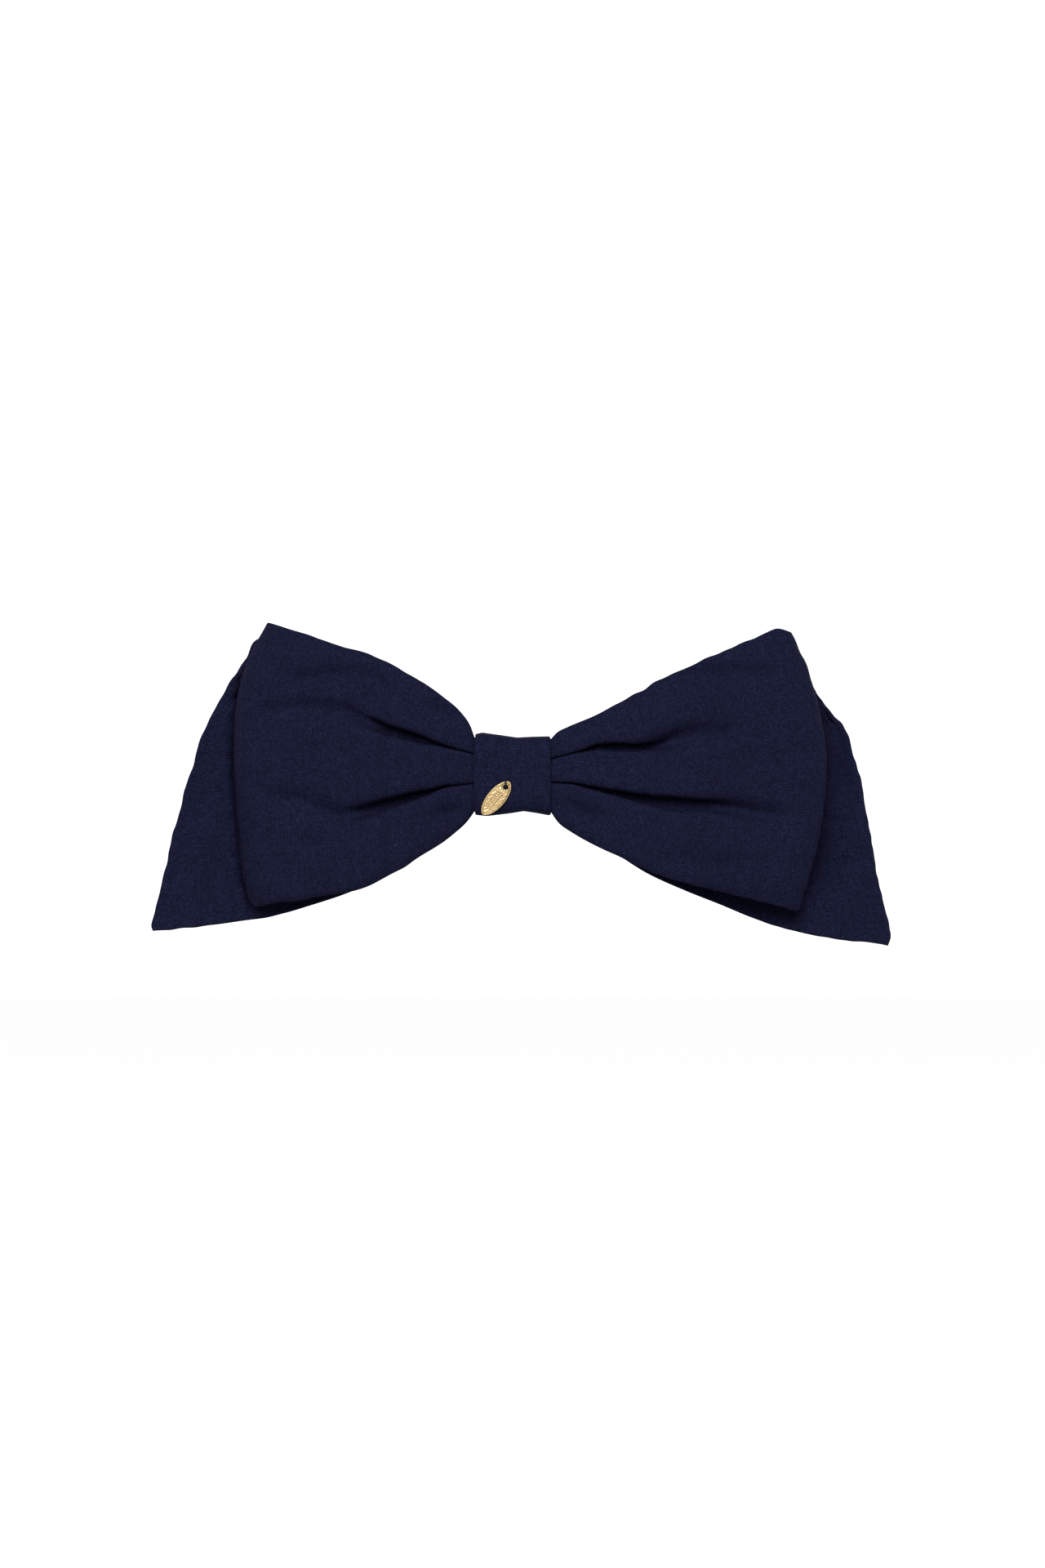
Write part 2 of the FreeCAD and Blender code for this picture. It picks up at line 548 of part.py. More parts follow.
def charm_thread():
    """The slack thread loop: out of the band above the charm, and back through its hole."""
    near, far = BAND_FRONT - THREAD_CLEAR, BAND_FRONT - THREAD_STAND_OFF
    x, z = charm_hole()
    corners = [V(x, near, z + LOOP_RISE), V(x, far, z + LOOP_RISE), V(x, far, z), V(x, near, z)]
    loop = rod(corners[0], corners[1], THREAD)
    for start, end in zip(corners[1:], corners[2:]):
        loop = loop.fuse(Part.makeSphere(THREAD, start)).fuse(rod(start, end, THREAD))
    return loop


def anchor_stitches():
    """A small bar tack on the band, above the thread loop."""
    x, z = charm_hole()
    bars = []
    for row in (2, 3):
        height = z + LOOP_RISE + row * 2.2 * THREAD
        bars.append(rod(V(x - 4 * THREAD, BAND_FRONT, height), V(x + 4 * THREAD, BAND_FRONT, height), THREAD))
    return Part.makeCompound(bars)


# ---- write ------------------------------------------------------------------------------------
def main():
    front, front_lining = front_bow()
    tail, tail_lining = tail_piece()
    band, band_lining = centre_band()
    nodes = {
        "front_bow_fabric": front,
        "front_bow_interlining": front_lining,
        "tail_fabric": tail,
        "tail_interlining": tail_lining,
        "centre_band": band,
        "band_interlining": band_lining,
        "front_gathering_thread": gathering_thread((LOOP_FRONT, LOOP_BACK)),
        "tail_gathering_thread": gathering_thread((TAIL_BACK - TAIL_PINCH, TAIL_BACK)),
        "band_closing_stitches": band_stitches(),
        "charm_anchor_stitches": anchor_stitches(),
        "charm_thread_loop": charm_thread(),
        "charm_tag": charm_tag(),
        "barrette_base": barrette_base(),
        "hinge_pin": hinge_pin(),
        "clasp_arm": clasp_arm(),
        "tension_bar": tension_bar(),
        "catch_bracket": catch_bracket(),
        "catch_rivet": catch_rivet(),
        "catch_tab_upper": catch_tab(1),
        "catch_tab_lower": catch_tab(-1),
        "hinge_end_stitches": sewing_stitches(-SEW_X),
        "catch_end_stitches": sewing_stitches(SEW_X),
    }
    os.makedirs("parts", exist_ok=True)
    for name, shape in nodes.items():
        shape.exportStep(f"parts/{name}.step")
        volume = sum(solid.Volume for solid in shape.Solids)
        print(f"{name}: {len(shape.Solids)} solids, valid {shape.isValid()}, {volume:.1f} mm3")


main()
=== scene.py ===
"""Fabric bow on a spring barrette: the cloth, thread and metal that show, built round the CAD frame.

Shapes are worked out in millimetres, in the frame's own axes (X along the bow, Z up, the front
faces -Y), and become metres where each mesh is made.
"""

import math

import bmesh
import bpy
import numpy as np
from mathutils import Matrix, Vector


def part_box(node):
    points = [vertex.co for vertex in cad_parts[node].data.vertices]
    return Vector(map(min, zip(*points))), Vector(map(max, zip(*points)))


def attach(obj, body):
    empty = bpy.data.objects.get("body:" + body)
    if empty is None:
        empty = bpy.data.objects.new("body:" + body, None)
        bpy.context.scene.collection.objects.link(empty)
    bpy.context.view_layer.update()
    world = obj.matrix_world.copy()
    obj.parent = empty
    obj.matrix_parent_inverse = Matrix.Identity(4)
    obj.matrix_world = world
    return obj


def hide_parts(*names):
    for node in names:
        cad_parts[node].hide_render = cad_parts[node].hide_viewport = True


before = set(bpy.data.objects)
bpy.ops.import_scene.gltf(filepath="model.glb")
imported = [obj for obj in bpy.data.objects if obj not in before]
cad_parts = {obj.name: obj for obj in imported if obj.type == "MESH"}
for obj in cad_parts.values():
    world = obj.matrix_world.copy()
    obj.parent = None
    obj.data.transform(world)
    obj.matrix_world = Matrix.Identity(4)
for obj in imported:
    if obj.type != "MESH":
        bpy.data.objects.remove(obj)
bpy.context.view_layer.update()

MM = 0.001

# Sizes that follow the CAD nodes.
band_low, band_high = (np.array(c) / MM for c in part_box("centre_band"))
BAND_HALF = band_high[0]
BAND_FRONT, BAND_BACK = band_low[1], band_high[1]

CLOTH_THICK = 1.1                 # one strip, turned inside out and pressed
EDGE_HALF = 0.02                  # half of the thickness that is left at a strip's very edge
EDGE_ROLL = 1.5                   # how far in from its long edges a strip rolls back
LOOP_REACH = 60.0                 # from the band to a loop's end, for the path seen from above
RIPPLE = 0.32                     # the loops' long soft unevenness, and the short one on top of it
FINE_RIPPLE = 0.07
CREASE_DEPTH = 2.0                # how deep a crease of depth 1 presses into a loop
EDGE_WOBBLE = 0.13                # how far a pressed edge strays from its outline
PINCH = 0.18                      # the share of its height that a strip loses under the band
TAIL_RIPPLE = 0.25                # the tails' soft unevenness
BAND_SAG = 0.14                   # the band's soft unevenness, and how far its edges curl outwards
BAND_CURL = 0.25
BAND_SEAM = 0.18                  # the band's folded end stands this proud at the back
THREAD = 0.16                     # radius of a sewing thread
SEW_Z = 2.9                       # the plate's sewing holes, above and below its middle line
WEAVE_PITCH = 0.42                # one thread and its gap
SEED = 11

# How finely the pieces are divided.
COLUMNS = 132                     # across a gathered strip
LOOP_ROWS = 170                   # along a loop, from the band and back to it
TAIL_ROWS = 160
BAND_ROWS, BAND_COLUMNS = 300, 72


# ---- curves and fields ------------------------------------------------------------------------
def curve(points, t):
    """Points on a smooth curve through the given ones, for t from 0 to 1 along its chords."""
    p = np.array(points, float)
    chord = np.maximum(np.linalg.norm(np.diff(p, axis=0), axis=1), 1e-9)
    knots = np.concatenate([[0], np.cumsum(chord)]) / chord.sum()
    slope = np.gradient(p, knots, axis=0)
    t = np.clip(np.asarray(t, float), 0, 1)
    i = np.clip(np.searchsorted(knots, t, side="right") - 1, 0, len(p) - 2)
    span = (knots[i + 1] - knots[i])[..., None]
    f = (t[..., None] - knots[i][..., None]) / span
    return (
        (2 * f**3 - 3 * f**2 + 1) * p[i]
        + (f**3 - 2 * f**2 + f) * span * slope[i]
        + (3 * f**2 - 2 * f**3) * p[i + 1]
        + (f**3 - f**2) * span * slope[i + 1]
    )


def track(knots, s):
    """A value that eases through (s, value) knots."""
    at, value = zip(*knots)
    fine = np.linspace(at[0], at[-1], 400)
    eased = np.interp(fine, at, value)
    for _ in range(60):
        eased[1:-1] = (eased[:-2] + 2 * eased[1:-1] + eased[2:]) / 4
    return np.interp(s, fine, eased)


def step(x, low, high):
    """0 below low, 1 above high, and smooth between."""
    f = np.clip((x - low) / (high - low), 0, 1)
    return f * f * (3 - 2 * f)


def waves(x, z, seed, longest, shortest, stretch=(1.0, 1.0)):
    """A smooth random field, about -1 to 1, whose waves are between the two lengths."""
    rng = np.random.default_rng(seed)
    total, count = 0.0, 14
    for _ in range(count):
        length = shortest * (longest / shortest) ** rng.random()
        angle, phase = rng.random(2) * 2 * math.pi
        kx, kz = math.cos(angle) / stretch[0], math.sin(angle) / stretch[1]
        total = total + np.cos(2 * math.pi * (kx * x + kz * z) / length + phase)
    return total / math.sqrt(count)


def smooth(grid):
    """The grid with each value averaged with its neighbours in its row; the row's ends stay."""
    g = grid.copy()
    g[:, 1:-1] = (g[:, :-2] + 2 * g[:, 1:-1] + g[:, 2:]) / 4
    return g


def creases(x, z, lines):
    """How deep soft folds press into the cloth at x, z. Each has its line, depth and half width."""
    total = np.zeros_like(x)
    for line, depth, half_width in lines:
        along = np.linspace(0, 1, 24)
        p = curve(line, along)
        fade = np.sin(math.pi * along) ** 0.6
        best, strength = np.full(x.shape, 1e9), np.zeros_like(x)
        for (ax, az), (bx, bz), fa, fb in zip(p[:-1], p[1:], fade[:-1], fade[1:]):
            f = ((x - ax) * (bx - ax) + (z - az) * (bz - az)) / ((bx - ax) ** 2 + (bz - az) ** 2)
            f = np.clip(f, 0, 1)
            away = (x - ax - f * (bx - ax)) ** 2 + (z - az - f * (bz - az)) ** 2
            nearer = away < best
            best = np.where(nearer, away, best)
            strength = np.where(nearer, fa + f * (fb - fa), strength)
        total = total + depth * strength * np.exp(-best / half_width**2)
    return total


def fan(shape, s, v):
    """x, z in a flat panel with four curved edges: s runs outwards from the band, v upwards."""
    top, end, bottom = shape["top"], shape["end"], shape["bottom"]
    t, b = curve(top, s), curve(bottom[::-1], s)
    e = curve(end[::-1], v)
    root_low, root_high = np.array(bottom[-1]), np.array(top[0])
    s, v = s[..., None], v[..., None]
    root = root_low + (root_high - root_low) * v
    corners = (1 - s) * root + s * ((1 - v) * np.array(bottom[0]) + v * np.array(top[-1]))
    return (1 - v) * b + v * t + (1 - s) * root + s * e - corners


# ---- cloth ------------------------------------------------------------------------------------
def fold(f, place, gap, deep, over, round_lip):
    """One fold as (up, back) points: the cloth turns in at its place, and out again above a gap.

    over goes from 0, a soft valley, to 1, where the ridge above hangs over the one below.
    """
    low, high = place - gap / 2, place + gap / 2
    span = high - low + 2 * round_lip
    valley = np.stack([low - round_lip + span * f, deep * np.sin(math.pi * f) ** 2], axis=1)
    if over <= 0:
        return valley
    turns = [
        (low - 0.8 * round_lip, 0.0),
        (low - 0.25 * round_lip, 0.1 * round_lip),
        (low, 0.4 * round_lip),
        (low - 0.1, 0.5 * deep),
        (low + 0.1 * gap, 0.9 * deep),
        (place + 0.1, deep),
        (high + 0.3, 0.92 * deep),
        (high + 0.45, 0.6 * deep),
        (high + 0.02, 0.85 * round_lip),
        (high + 0.3 * round_lip, 0.22 * round_lip),
        (high + round_lip, 0.0),
    ]
    return valley * (1 - over) + curve(turns, f) * over


def unfolded(up):
    """The given heights as (up, back) points with no depth."""
    return np.stack([up, np.zeros_like(up)], axis=1)


def section(height, folds, rolls):
    """A gathered strip's cross section: height and depth of each column, close together at edges."""
    fine = np.linspace(0, 1, 90)
    parts, start = [], 0.0
    for place, gap, deep, over, round_lip in folds:
        turned = fold(fine, place, gap, deep, over, round_lip)
        ridge = np.linspace(start, turned[0, 0], 60)[:-1]
        parts += [unfolded(ridge), turned]
        start = turned[-1, 0]
    ridge = np.linspace(start, height, 60)[1:]
    parts.append(unfolded(ridge))
    up, back = np.concatenate(parts).T
    back = back + rolls[0] * np.exp(-np.maximum(up, 0) / EDGE_ROLL)
    back = back + rolls[1] * np.exp(-np.maximum(height - up, 0) / EDGE_ROLL)
    length = np.concatenate([[0], np.cumsum(np.hypot(np.diff(up), np.diff(back)))])
    edge = np.minimum(length, length[-1] - length)
    crowd = 1 + 3.5 * np.exp(-edge / 0.8)
    for place, gap, _, over, _ in folds:
        crowd = crowd + 0.9 * over * np.exp(-(((up - place) / (gap / 2 + 2.2)) ** 2))
    weight = np.concatenate([[0], np.cumsum(np.diff(length) * (crowd[1:] + crowd[:-1]) / 2)])
    even = np.linspace(0, weight[-1], COLUMNS)
    return np.interp(even, weight, up), np.interp(even, weight, back)


def gathered(shape, s, slits, rolls):
    """Height share and depth of each column in each row of a gathered strip.

    Each slit has its line as (x, z), and knots of depth, gap, over and round lip against s.
    """
    v = np.linspace(0, 1, 101)
    share, deep = np.zeros((2, len(s), COLUMNS))
    tracks = [{k: track(slit[k], s) for k in ("deep", "gap", "over", "lip")} for slit in slits]
    lines = [np.array(sorted(slit["line"])).T for slit in slits]
    for r, reach in enumerate(s):
        row = fan(shape, np.full_like(v, reach), v)
        height = np.linalg.norm(row[-1] - row[0])
        folds = []
        for (along, level), knots in zip(lines, tracks):
            above = row[:, 1] - np.interp(row[:, 0], along, level)
            place = np.interp(0, above, v) * height
            folds.append((place, knots["gap"][r], knots["deep"][r], knots["over"][r], knots["lip"][r]))
        up, back = section(height, folds, (rolls[0][r], rolls[1][r]))
        share[r], deep[r] = up / height, back
    return smooth(share), smooth(deep)


def grid_normals(p, ring):
    """Unit normals of a grid of points."""
    if ring:
        along = np.roll(p, -1, 0) - np.roll(p, 1, 0)
    else:
        along = np.gradient(p, axis=0)
    across = np.gradient(p, axis=1)
    n = np.cross(along, across)
    return n / np.maximum(np.linalg.norm(n, axis=2, keepdims=True), 1e-9)


def strip(name, outer, ring, turned=False):
    """A closed strip of cloth with the grid as its outer side; its free edges are rounded folds.

    ring joins the last row to the first. turned says that the grid runs the other way round, so
    that its normals point into the cloth.
    """
    rows, columns = outer.shape[:2]
    normal = grid_normals(outer, ring) * (-1 if turned else 1)
    steps = np.linalg.norm(np.diff(outer, axis=1), axis=2)
    from_low = np.concatenate([np.zeros((rows, 1)), np.cumsum(steps, axis=1)], axis=1)
    edge = np.minimum(from_low, from_low[:, -1:] - from_low)
    closing = [outer, outer[:1]] if ring else [outer]
    lengths = np.linalg.norm(np.diff(np.concatenate(closing), axis=0), axis=2)
    run = np.concatenate([np.zeros((1, columns)), np.cumsum(lengths, axis=0)])
    if not ring:
        edge = np.minimum(edge, np.minimum(run, run[-1:] - run))
    radius = CLOTH_THICK / 2
    inset = np.clip(radius - edge, 0, radius)
    half = np.sqrt(np.maximum(radius**2 - inset**2, 0)) + EDGE_HALF
    middle = outer - normal * radius
    outside = middle + normal * half[..., None]
    inside = middle - normal * half[..., None]

    verts = np.concatenate([outside.reshape(-1, 3), inside.reshape(-1, 3)]) * MM
    across = from_low - from_low[:, columns // 2][:, None]
    if ring:
        across = np.concatenate([across, across[:1]])
    middle_run = np.repeat(run[:, columns // 2][:, None], columns, axis=1)
    uv = np.stack([middle_run, across], axis=2) * MM
    faces, uvs = [], []

    def quad(corners, turned_over):
        """One face from (row, column, side) corners, where side is 0 outside and 1 inside."""
        if turned_over:
            corners = corners[::-1]
        faces.append([(side * rows + i % rows) * columns + j for i, j, side in corners])
        uvs.extend(uv[i, j] for i, j, _ in corners)

    for i in range(rows if ring else rows - 1):
        for j in range(columns - 1):
            for side in (0, 1):
                corners = [(i, j, side), (i + 1, j, side), (i + 1, j + 1, side), (i, j + 1, side)]
                quad(corners, turned != (side == 1))
        for j in (0, columns - 1):
            quad([(i, j, 0), (i, j, 1), (i + 1, j, 1), (i + 1, j, 0)], turned != (j > 0))
    if not ring:
        for i in (0, rows - 1):
            for j in range(columns - 1):
                quad([(i, j, 0), (i, j, 1), (i, j + 1, 1), (i, j + 1, 0)], turned != (i == 0))
    return mesh_object(name, verts, faces, uvs)


def mesh_object(name, verts, faces, uvs=None):
    """A smooth-shaded object in the scene."""
    mesh = bpy.data.meshes.new(name)
    mesh.from_pydata([tuple(v) for v in verts], [], faces)
    if uvs is not None:
        layer = mesh.uv_layers.new(name="UVMap")
        layer.data.foreach_set("uv", np.array(uvs, np.float32).ravel())
    mesh.polygons.foreach_set("use_smooth", [True] * len(faces))
    mesh.update()
    obj = bpy.data.objects.new(name, mesh)
    bpy.context.scene.collection.objects.link(obj)
    return obj


# ---- front bow --------------------------------------------------------------------------------
# Outlines as (x, z): from the band out along the top, down the end, and back along the bottom.
LEFT_LOOP = {
    "top": [(-9.2, 9.3), (-10.4, 12.6), (-12.6, 15.6), (-17.6, 19.8), (-24.0, 24.0), (-32.6, 28.5),
            (-45.0, 32.6), (-56.5, 36.3), (-59.6, 37.2)],
    "end": [(-59.6, 37.2), (-61.2, 34.6), (-65.2, 26.0), (-67.2, 17.2), (-67.8, 7.4), (-67.4, -5.0),
            (-66.4, -16.4), (-65.2, -26.4), (-64.0, -30.6), (-62.4, -32.1)],
    "bottom": [(-62.4, -32.1), (-56.0, -31.2), (-49.4, -30.2), (-43.0, -29.2), (-37.4, -28.0),
               (-30.0, -24.7), (-22.6, -20.2), (-14.8, -15.0), (-11.0, -11.6), (-9.2, -9.1)],
}
RIGHT_LOOP = {
    "top": [(9.2, 8.9), (10.8, 10.6), (13.4, 11.9), (19.2, 14.3), (27.4, 18.6), (36.0, 23.4),
            (45.6, 27.8), (54.0, 31.5), (60.0, 34.0), (64.6, 35.7), (67.6, 35.0)],
    "end": [(67.6, 35.0), (70.4, 29.4), (73.2, 21.8), (75.0, 14.0), (76.4, 4.0), (76.2, -4.0),
            (75.0, -13.0), (72.4, -24.0), (70.6, -30.6), (69.4, -33.2)],
    "bottom": [(69.4, -33.2), (63.0, -31.6), (55.2, -29.6), (45.0, -27.2), (34.6, -24.2),
               (24.0, -19.2), (15.0, -14.6), (11.0, -11.8), (9.2, -9.2)],
}
# The folds between the ridges: each has its line as (x, z), from the band outwards, and its
# depth, gap, overhang (0 to 1) and rounding of its lips against the share of the way outwards.
LEFT_SLITS = [
    {"line": [(-9.2, -2.1), (-16.3, -2.9), (-22.9, -4.9), (-29.6, -6.9), (-36.3, -8.9), (-43.0, -10.2),
              (-52.3, -8.4), (-68.0, -6.0)],
     "deep": [(0, 2.6), (0.12, 5.0), (0.2, 6.6), (0.46, 6.0), (0.56, 2.8),
              (0.68, 0.9), (0.8, 0.3), (1, 0)],
     "gap": [(0, 0.15), (0.12, 0.35), (0.22, 1.1), (0.32, 2.5), (0.44, 3.0),
             (0.56, 1.8), (0.7, 2.0), (1, 3)],
     "over": [(0, 1), (0.44, 1), (0.62, 0), (1, 0)],
     "lip": [(0, 0.9), (0.2, 1.5), (0.44, 1.9), (0.6, 3.0), (1, 5)]},
    {"line": [(-9.2, 5.0), (-16.3, 6.8), (-22.9, 8.7), (-29.6, 10.6), (-36.0, 13.0), (-42.0, 15.0),
              (-50.0, 16.0), (-68.0, 12.0)],
     "deep": [(0, 2.6), (0.12, 5.0), (0.2, 6.6), (0.42, 6.0), (0.50, 2.8),
              (0.62, 0.9), (0.8, 0.3), (1, 0)],
     "gap": [(0, 0.15), (0.1, 0.3), (0.2, 0.8), (0.30, 2.5), (0.40, 2.6),
             (0.5, 1.7), (0.7, 2.0), (1, 3)],
     "over": [(0, 1), (0.40, 1), (0.56, 0), (1, 0)],
     "lip": [(0, 0.9), (0.2, 1.5), (0.40, 1.9), (0.56, 3.0), (1, 5)]},
]
RIGHT_SLITS = [
    {"line": [(9.2, -1.9), (14.4, -2.1), (21.1, -3.6), (27.7, -5.1), (34.4, -6.6), (41.0, -7.3),
              (47.7, -7.5), (52.4, -7.9), (57.7, -8.9), (66.4, -10.2), (76.0, -10.6)],
     "deep": [(0, 2.6), (0.1, 5.0), (0.2, 6.6), (0.58, 6.0), (0.67, 2.8),
              (0.76, 1.0), (0.9, 0.4), (1, 0)],
     "gap": [(0, 0.15), (0.08, 0.4), (0.2, 1.1), (0.34, 2.1), (0.46, 3.4),
             (0.6, 2.9), (0.7, 1.6), (1, 3)],
     "over": [(0, 1), (0.58, 1), (0.74, 0), (1, 0)],
     "lip": [(0, 0.9), (0.2, 1.4), (0.5, 1.9), (0.7, 2.6), (1, 5)]},
    {"line": [(9.2, 3.8), (14.4, 5.1), (20.4, 6.7), (24.0, 6.7), (30.0, 6.5), (34.0, 6.8), (38.5, 8.1),
              (44.4, 9.6), (55.0, 10.4), (76.0, 11.0)],
     "deep": [(0, 2.6), (0.1, 5.0), (0.18, 6.2), (0.37, 5.6), (0.44, 2.8),
              (0.55, 0.9), (0.7, 0.4), (1, 0)],
     "gap": [(0, 0.15), (0.12, 0.35), (0.18, 1.4), (0.26, 2.1), (0.34, 1.8),
             (0.42, 1.5), (0.56, 2.4), (1, 3)],
     "over": [(0, 1), (0.36, 1), (0.50, 0), (1, 0)],
     "lip": [(0, 0.9), (0.18, 1.4), (0.34, 1.7), (0.5, 2.8), (1, 5)]},
]
# Soft creases on the front: the line as (x, z), the depth and the half width.
LEFT_CREASES = [
    ([(-57, 22.0), (-48, 23.6), (-41, 24.2), (-30, 24.0)], 1.0, 2.6),
    ([(-65, 12.0), (-57, 15.2), (-49, 16.6), (-42, 14.6), (-36, 12.4)], 0.9, 2.8),
    ([(-30, 23.0), (-35, 18.6), (-40, 14.2)], 0.7, 3.2),
    ([(-21, 17.6), (-16.5, 15.2), (-12.2, 12.6)], 0.8, 2.2),
    ([(-62, -4.8), (-55, -5.6), (-48, -7.0), (-42, -9.8)], 0.8, 2.4),
    ([(-41, -9.8), (-45, -14.5), (-51, -21.0)], 0.9, 3.4),
    ([(-20, -9.2), (-16, -9.4), (-11, -8.6)], 0.9, 2.0),
    ([(-60, -20), (-50, -26), (-38, -24)], 0.4, 3.6),
]
RIGHT_CREASES = [
    ([(32, 20.5), (40, 23.2), (51, 24.4), (64, 23.4)], 1.0, 2.6),
    ([(20, 12.6), (26, 15.4), (38, 19.6)], 0.7, 2.8),
    ([(30, 6.2), (37, 8.2), (45, 9.8), (55, 10.0)], 0.9, 2.4),
    ([(50, -8.0), (58, -9.2), (68, -10.4)], 0.9, 2.2),
    ([(11, -6.2), (16, -9.0), (24, -11.6)], 0.9, 2.2),
    ([(36, -19), (45, -21.6), (58, -22.4)], 0.5, 3.0),
    ([(56, 2), (64, 3.5), (72, 2.5)], 0.35, 3.5),
]
# The loop seen from above: (share of the reach, y), from the band along the front, round, back.
LEFT_PATH = [(0.0, -17.95), (0.05, -18.6), (0.14, -19.9), (0.28, -20.9), (0.45, -21.0), (0.62, -20.1),
             (0.78, -18.0), (0.90, -15.6), (0.955, -13.9), (0.985, -11.9), (0.998, -9.6), (1.0, -7.9),
             (0.992, -6.5), (0.97, -5.7), (0.93, -5.4), (0.8, -5.4), (0.6, -5.9), (0.4, -7.0), (0.2, -8.7),
             (0.08, -10.2), (0.0, -11.2)]
RIGHT_PATH = [(0.0, -17.95), (0.05, -18.6), (0.14, -19.9), (0.28, -20.8), (0.45, -20.9), (0.62, -19.9),
              (0.78, -17.8), (0.90, -15.8), (0.955, -14.5), (0.985, -12.9), (0.998, -10.6), (1.0, -8.6),
              (0.992, -7.0), (0.97, -6.0), (0.93, -5.5), (0.8, -5.3), (0.6, -5.5), (0.4, -6.7), (0.2, -8.5),
              (0.08, -10.1), (0.0, -11.2)]

# How far the bottom and the top edge roll back, against the share of the way outwards.
LEFT_ROLLS = [[(0, 1.6), (0.3, 1.7), (0.8, 1.6), (1, 0.6)],
              [(0, 1.6), (0.3, 1.4), (0.5, 2.6), (0.8, 2.4), (0.95, 0.8), (1, 0.4)]]
RIGHT_ROLLS = [[(0, 1.6), (0.3, 1.6), (0.8, 1.4), (1, 0.6)],
               [(0, 1.6), (0.3, 1.7), (0.8, 1.5), (1, 0.6)]]


def uneven(x, z, free, seed):
    """x and z with the small unevenness of a pressed edge."""
    shift = EDGE_WOBBLE * free
    return x + shift * waves(x, z, seed + 2, 11, 3.5), z + shift * waves(x, z, seed + 3, 11, 3.5)


def crowded(count, centre, width, share):
    """Values from 0 to 1 that lie closer together near the centre."""
    fine = np.linspace(0, 1, 2000)
    weight = np.cumsum(1 + share * np.exp(-(((fine - centre) / width) ** 2)))
    weight = (weight - weight[0]) / (weight[-1] - weight[0])
    return np.interp(np.linspace(0, 1, count), weight, fine)


def loop(shape, slits, folds, path, rolls, seed):
    """One loop: rows from the band, along the front, round the fold and back to the band."""
    t = crowded(LOOP_ROWS, 0.5, 0.06, 1.6)
    s, y = curve([(out * LOOP_REACH, back) for out, back in path], t).T
    s = np.clip(s / LOOP_REACH, 0, 1)
    front = 1 - step(t, 0.40, 0.60)
    share, deep = gathered(shape, s, slits, [track(knots, s) for knots in rolls])
    rows = np.repeat(s[:, None], share.shape[1], axis=1)
    xz = fan(shape, rows, share)
    x, z = xz[..., 0], xz[..., 1]
    free = step(rows, 0.05, 0.4)
    ripple = free * RIPPLE * waves(x, z, seed, 46, 18, stretch=(1.7, 1.0))
    ripple = ripple + free * FINE_RIPPLE * waves(x, z, seed + 1, 14, 5)
    ripple = ripple + CREASE_DEPTH * creases(x, z, folds)
    facing = (2 * front - 1)[:, None]
    depth = y[:, None] + facing * (deep + ripple)
    x, z = uneven(x, z, free, seed)
    return np.stack([x, depth, z], axis=2)


def joined(start, end, rows=14):
    """Rows from one cross section to another, pinched in between."""
    f = np.linspace(0, 1, rows)[1:-1, None, None]
    between = start * (1 - f) + end * f
    between[..., 2] *= 1 - PINCH * np.sin(math.pi * f[..., 0])
    return between


def front_bow():
    left = loop(LEFT_LOOP, LEFT_SLITS, LEFT_CREASES, LEFT_PATH, LEFT_ROLLS, SEED)
    right = loop(RIGHT_LOOP, RIGHT_SLITS, RIGHT_CREASES, RIGHT_PATH, RIGHT_ROLLS, SEED + 10)
    behind, before = joined(right[-1], left[-1]), joined(left[0], right[0])
    rows = np.concatenate([right, behind, left[::-1], before])
    return strip("front_bow", rows, ring=True)


# ---- tails ------------------------------------------------------------------------------------
LEFT_TAIL = {
    "top": [(-9.2, 8.0), (-20.0, 18.6), (-40.0, 29.0), (-60.4, 34.6)],
    "end": [(-60.4, 34.6), (-62.8, 32.4), (-67.4, 25.6), (-71.2, 19.2), (-74.2, 13.6), (-76.4, 8.8),
            (-78.2, 2.6), (-80.2, -3.6), (-81.6, -9.0), (-83.4, -15.2), (-84.6, -21.2), (-86.0, -26.8),
            (-87.4, -33.0), (-88.1, -36.8), (-87.8, -38.3)],
    "bottom": [(-87.8, -38.3), (-77.4, -37.3), (-67.0, -35.9), (-59.0, -34.7), (-50.0, -32.2),
               (-36.0, -27.2), (-20.0, -16.6), (-9.2, -8.0)],
}
RIGHT_TAIL = {
    "top": [(9.2, 7.8), (30.0, 18.6), (50.0, 27.0), (69.4, 29.6)],
    "end": [(69.4, 29.6), (73.2, 22.0), (78.2, 15.4), (81.0, 12.4), (82.4, 10.0), (83.4, 5.8),
            (85.2, -0.2), (86.4, -8.0), (87.8, -15.8), (89.4, -25.4), (91.2, -32.6), (92.4, -37.4),
            (92.5, -40.4), (91.9, -41.7)],
    "bottom": [(91.9, -41.7), (81.0, -40.4), (71.4, -38.9), (60.0, -35.6), (50.4, -31.7), (42.0, -28.4),
               (32.4, -24.0), (24.0, -18.6), (16.2, -13.6), (9.2, -8.2)],
}
# A tail's shallow folds, which show at the back beside the band, with x away from the middle.
TAIL_FOLDS = [[(9.2, -2.6), (35, -9.0), (92, -16)], [(9.2, 3.4), (35, 9.0), (92, 11)]]
TAIL_KNOTS = {
    "deep": [(0, 1.2), (0.15, 1.5), (0.3, 1.1), (0.5, 0.4), (1, 0)],
    "gap": [(0, 0.3), (0.3, 1.2), (1, 3)],
    "over": [(0, 0), (1, 0)],
    "lip": [(0, 0.9), (0.3, 2.6), (0.6, 5), (1, 7)],
}
TAIL_ROLL = [(0, 0.9), (0.4, 0.5), (1, 0.25)]
TAIL_LENGTH = 82.0
HEM_ROWS = [1.6, 1.1, 0.7, 0.42, 0.2, 0.07, 0.0]  # the last rows, in from the tail's end


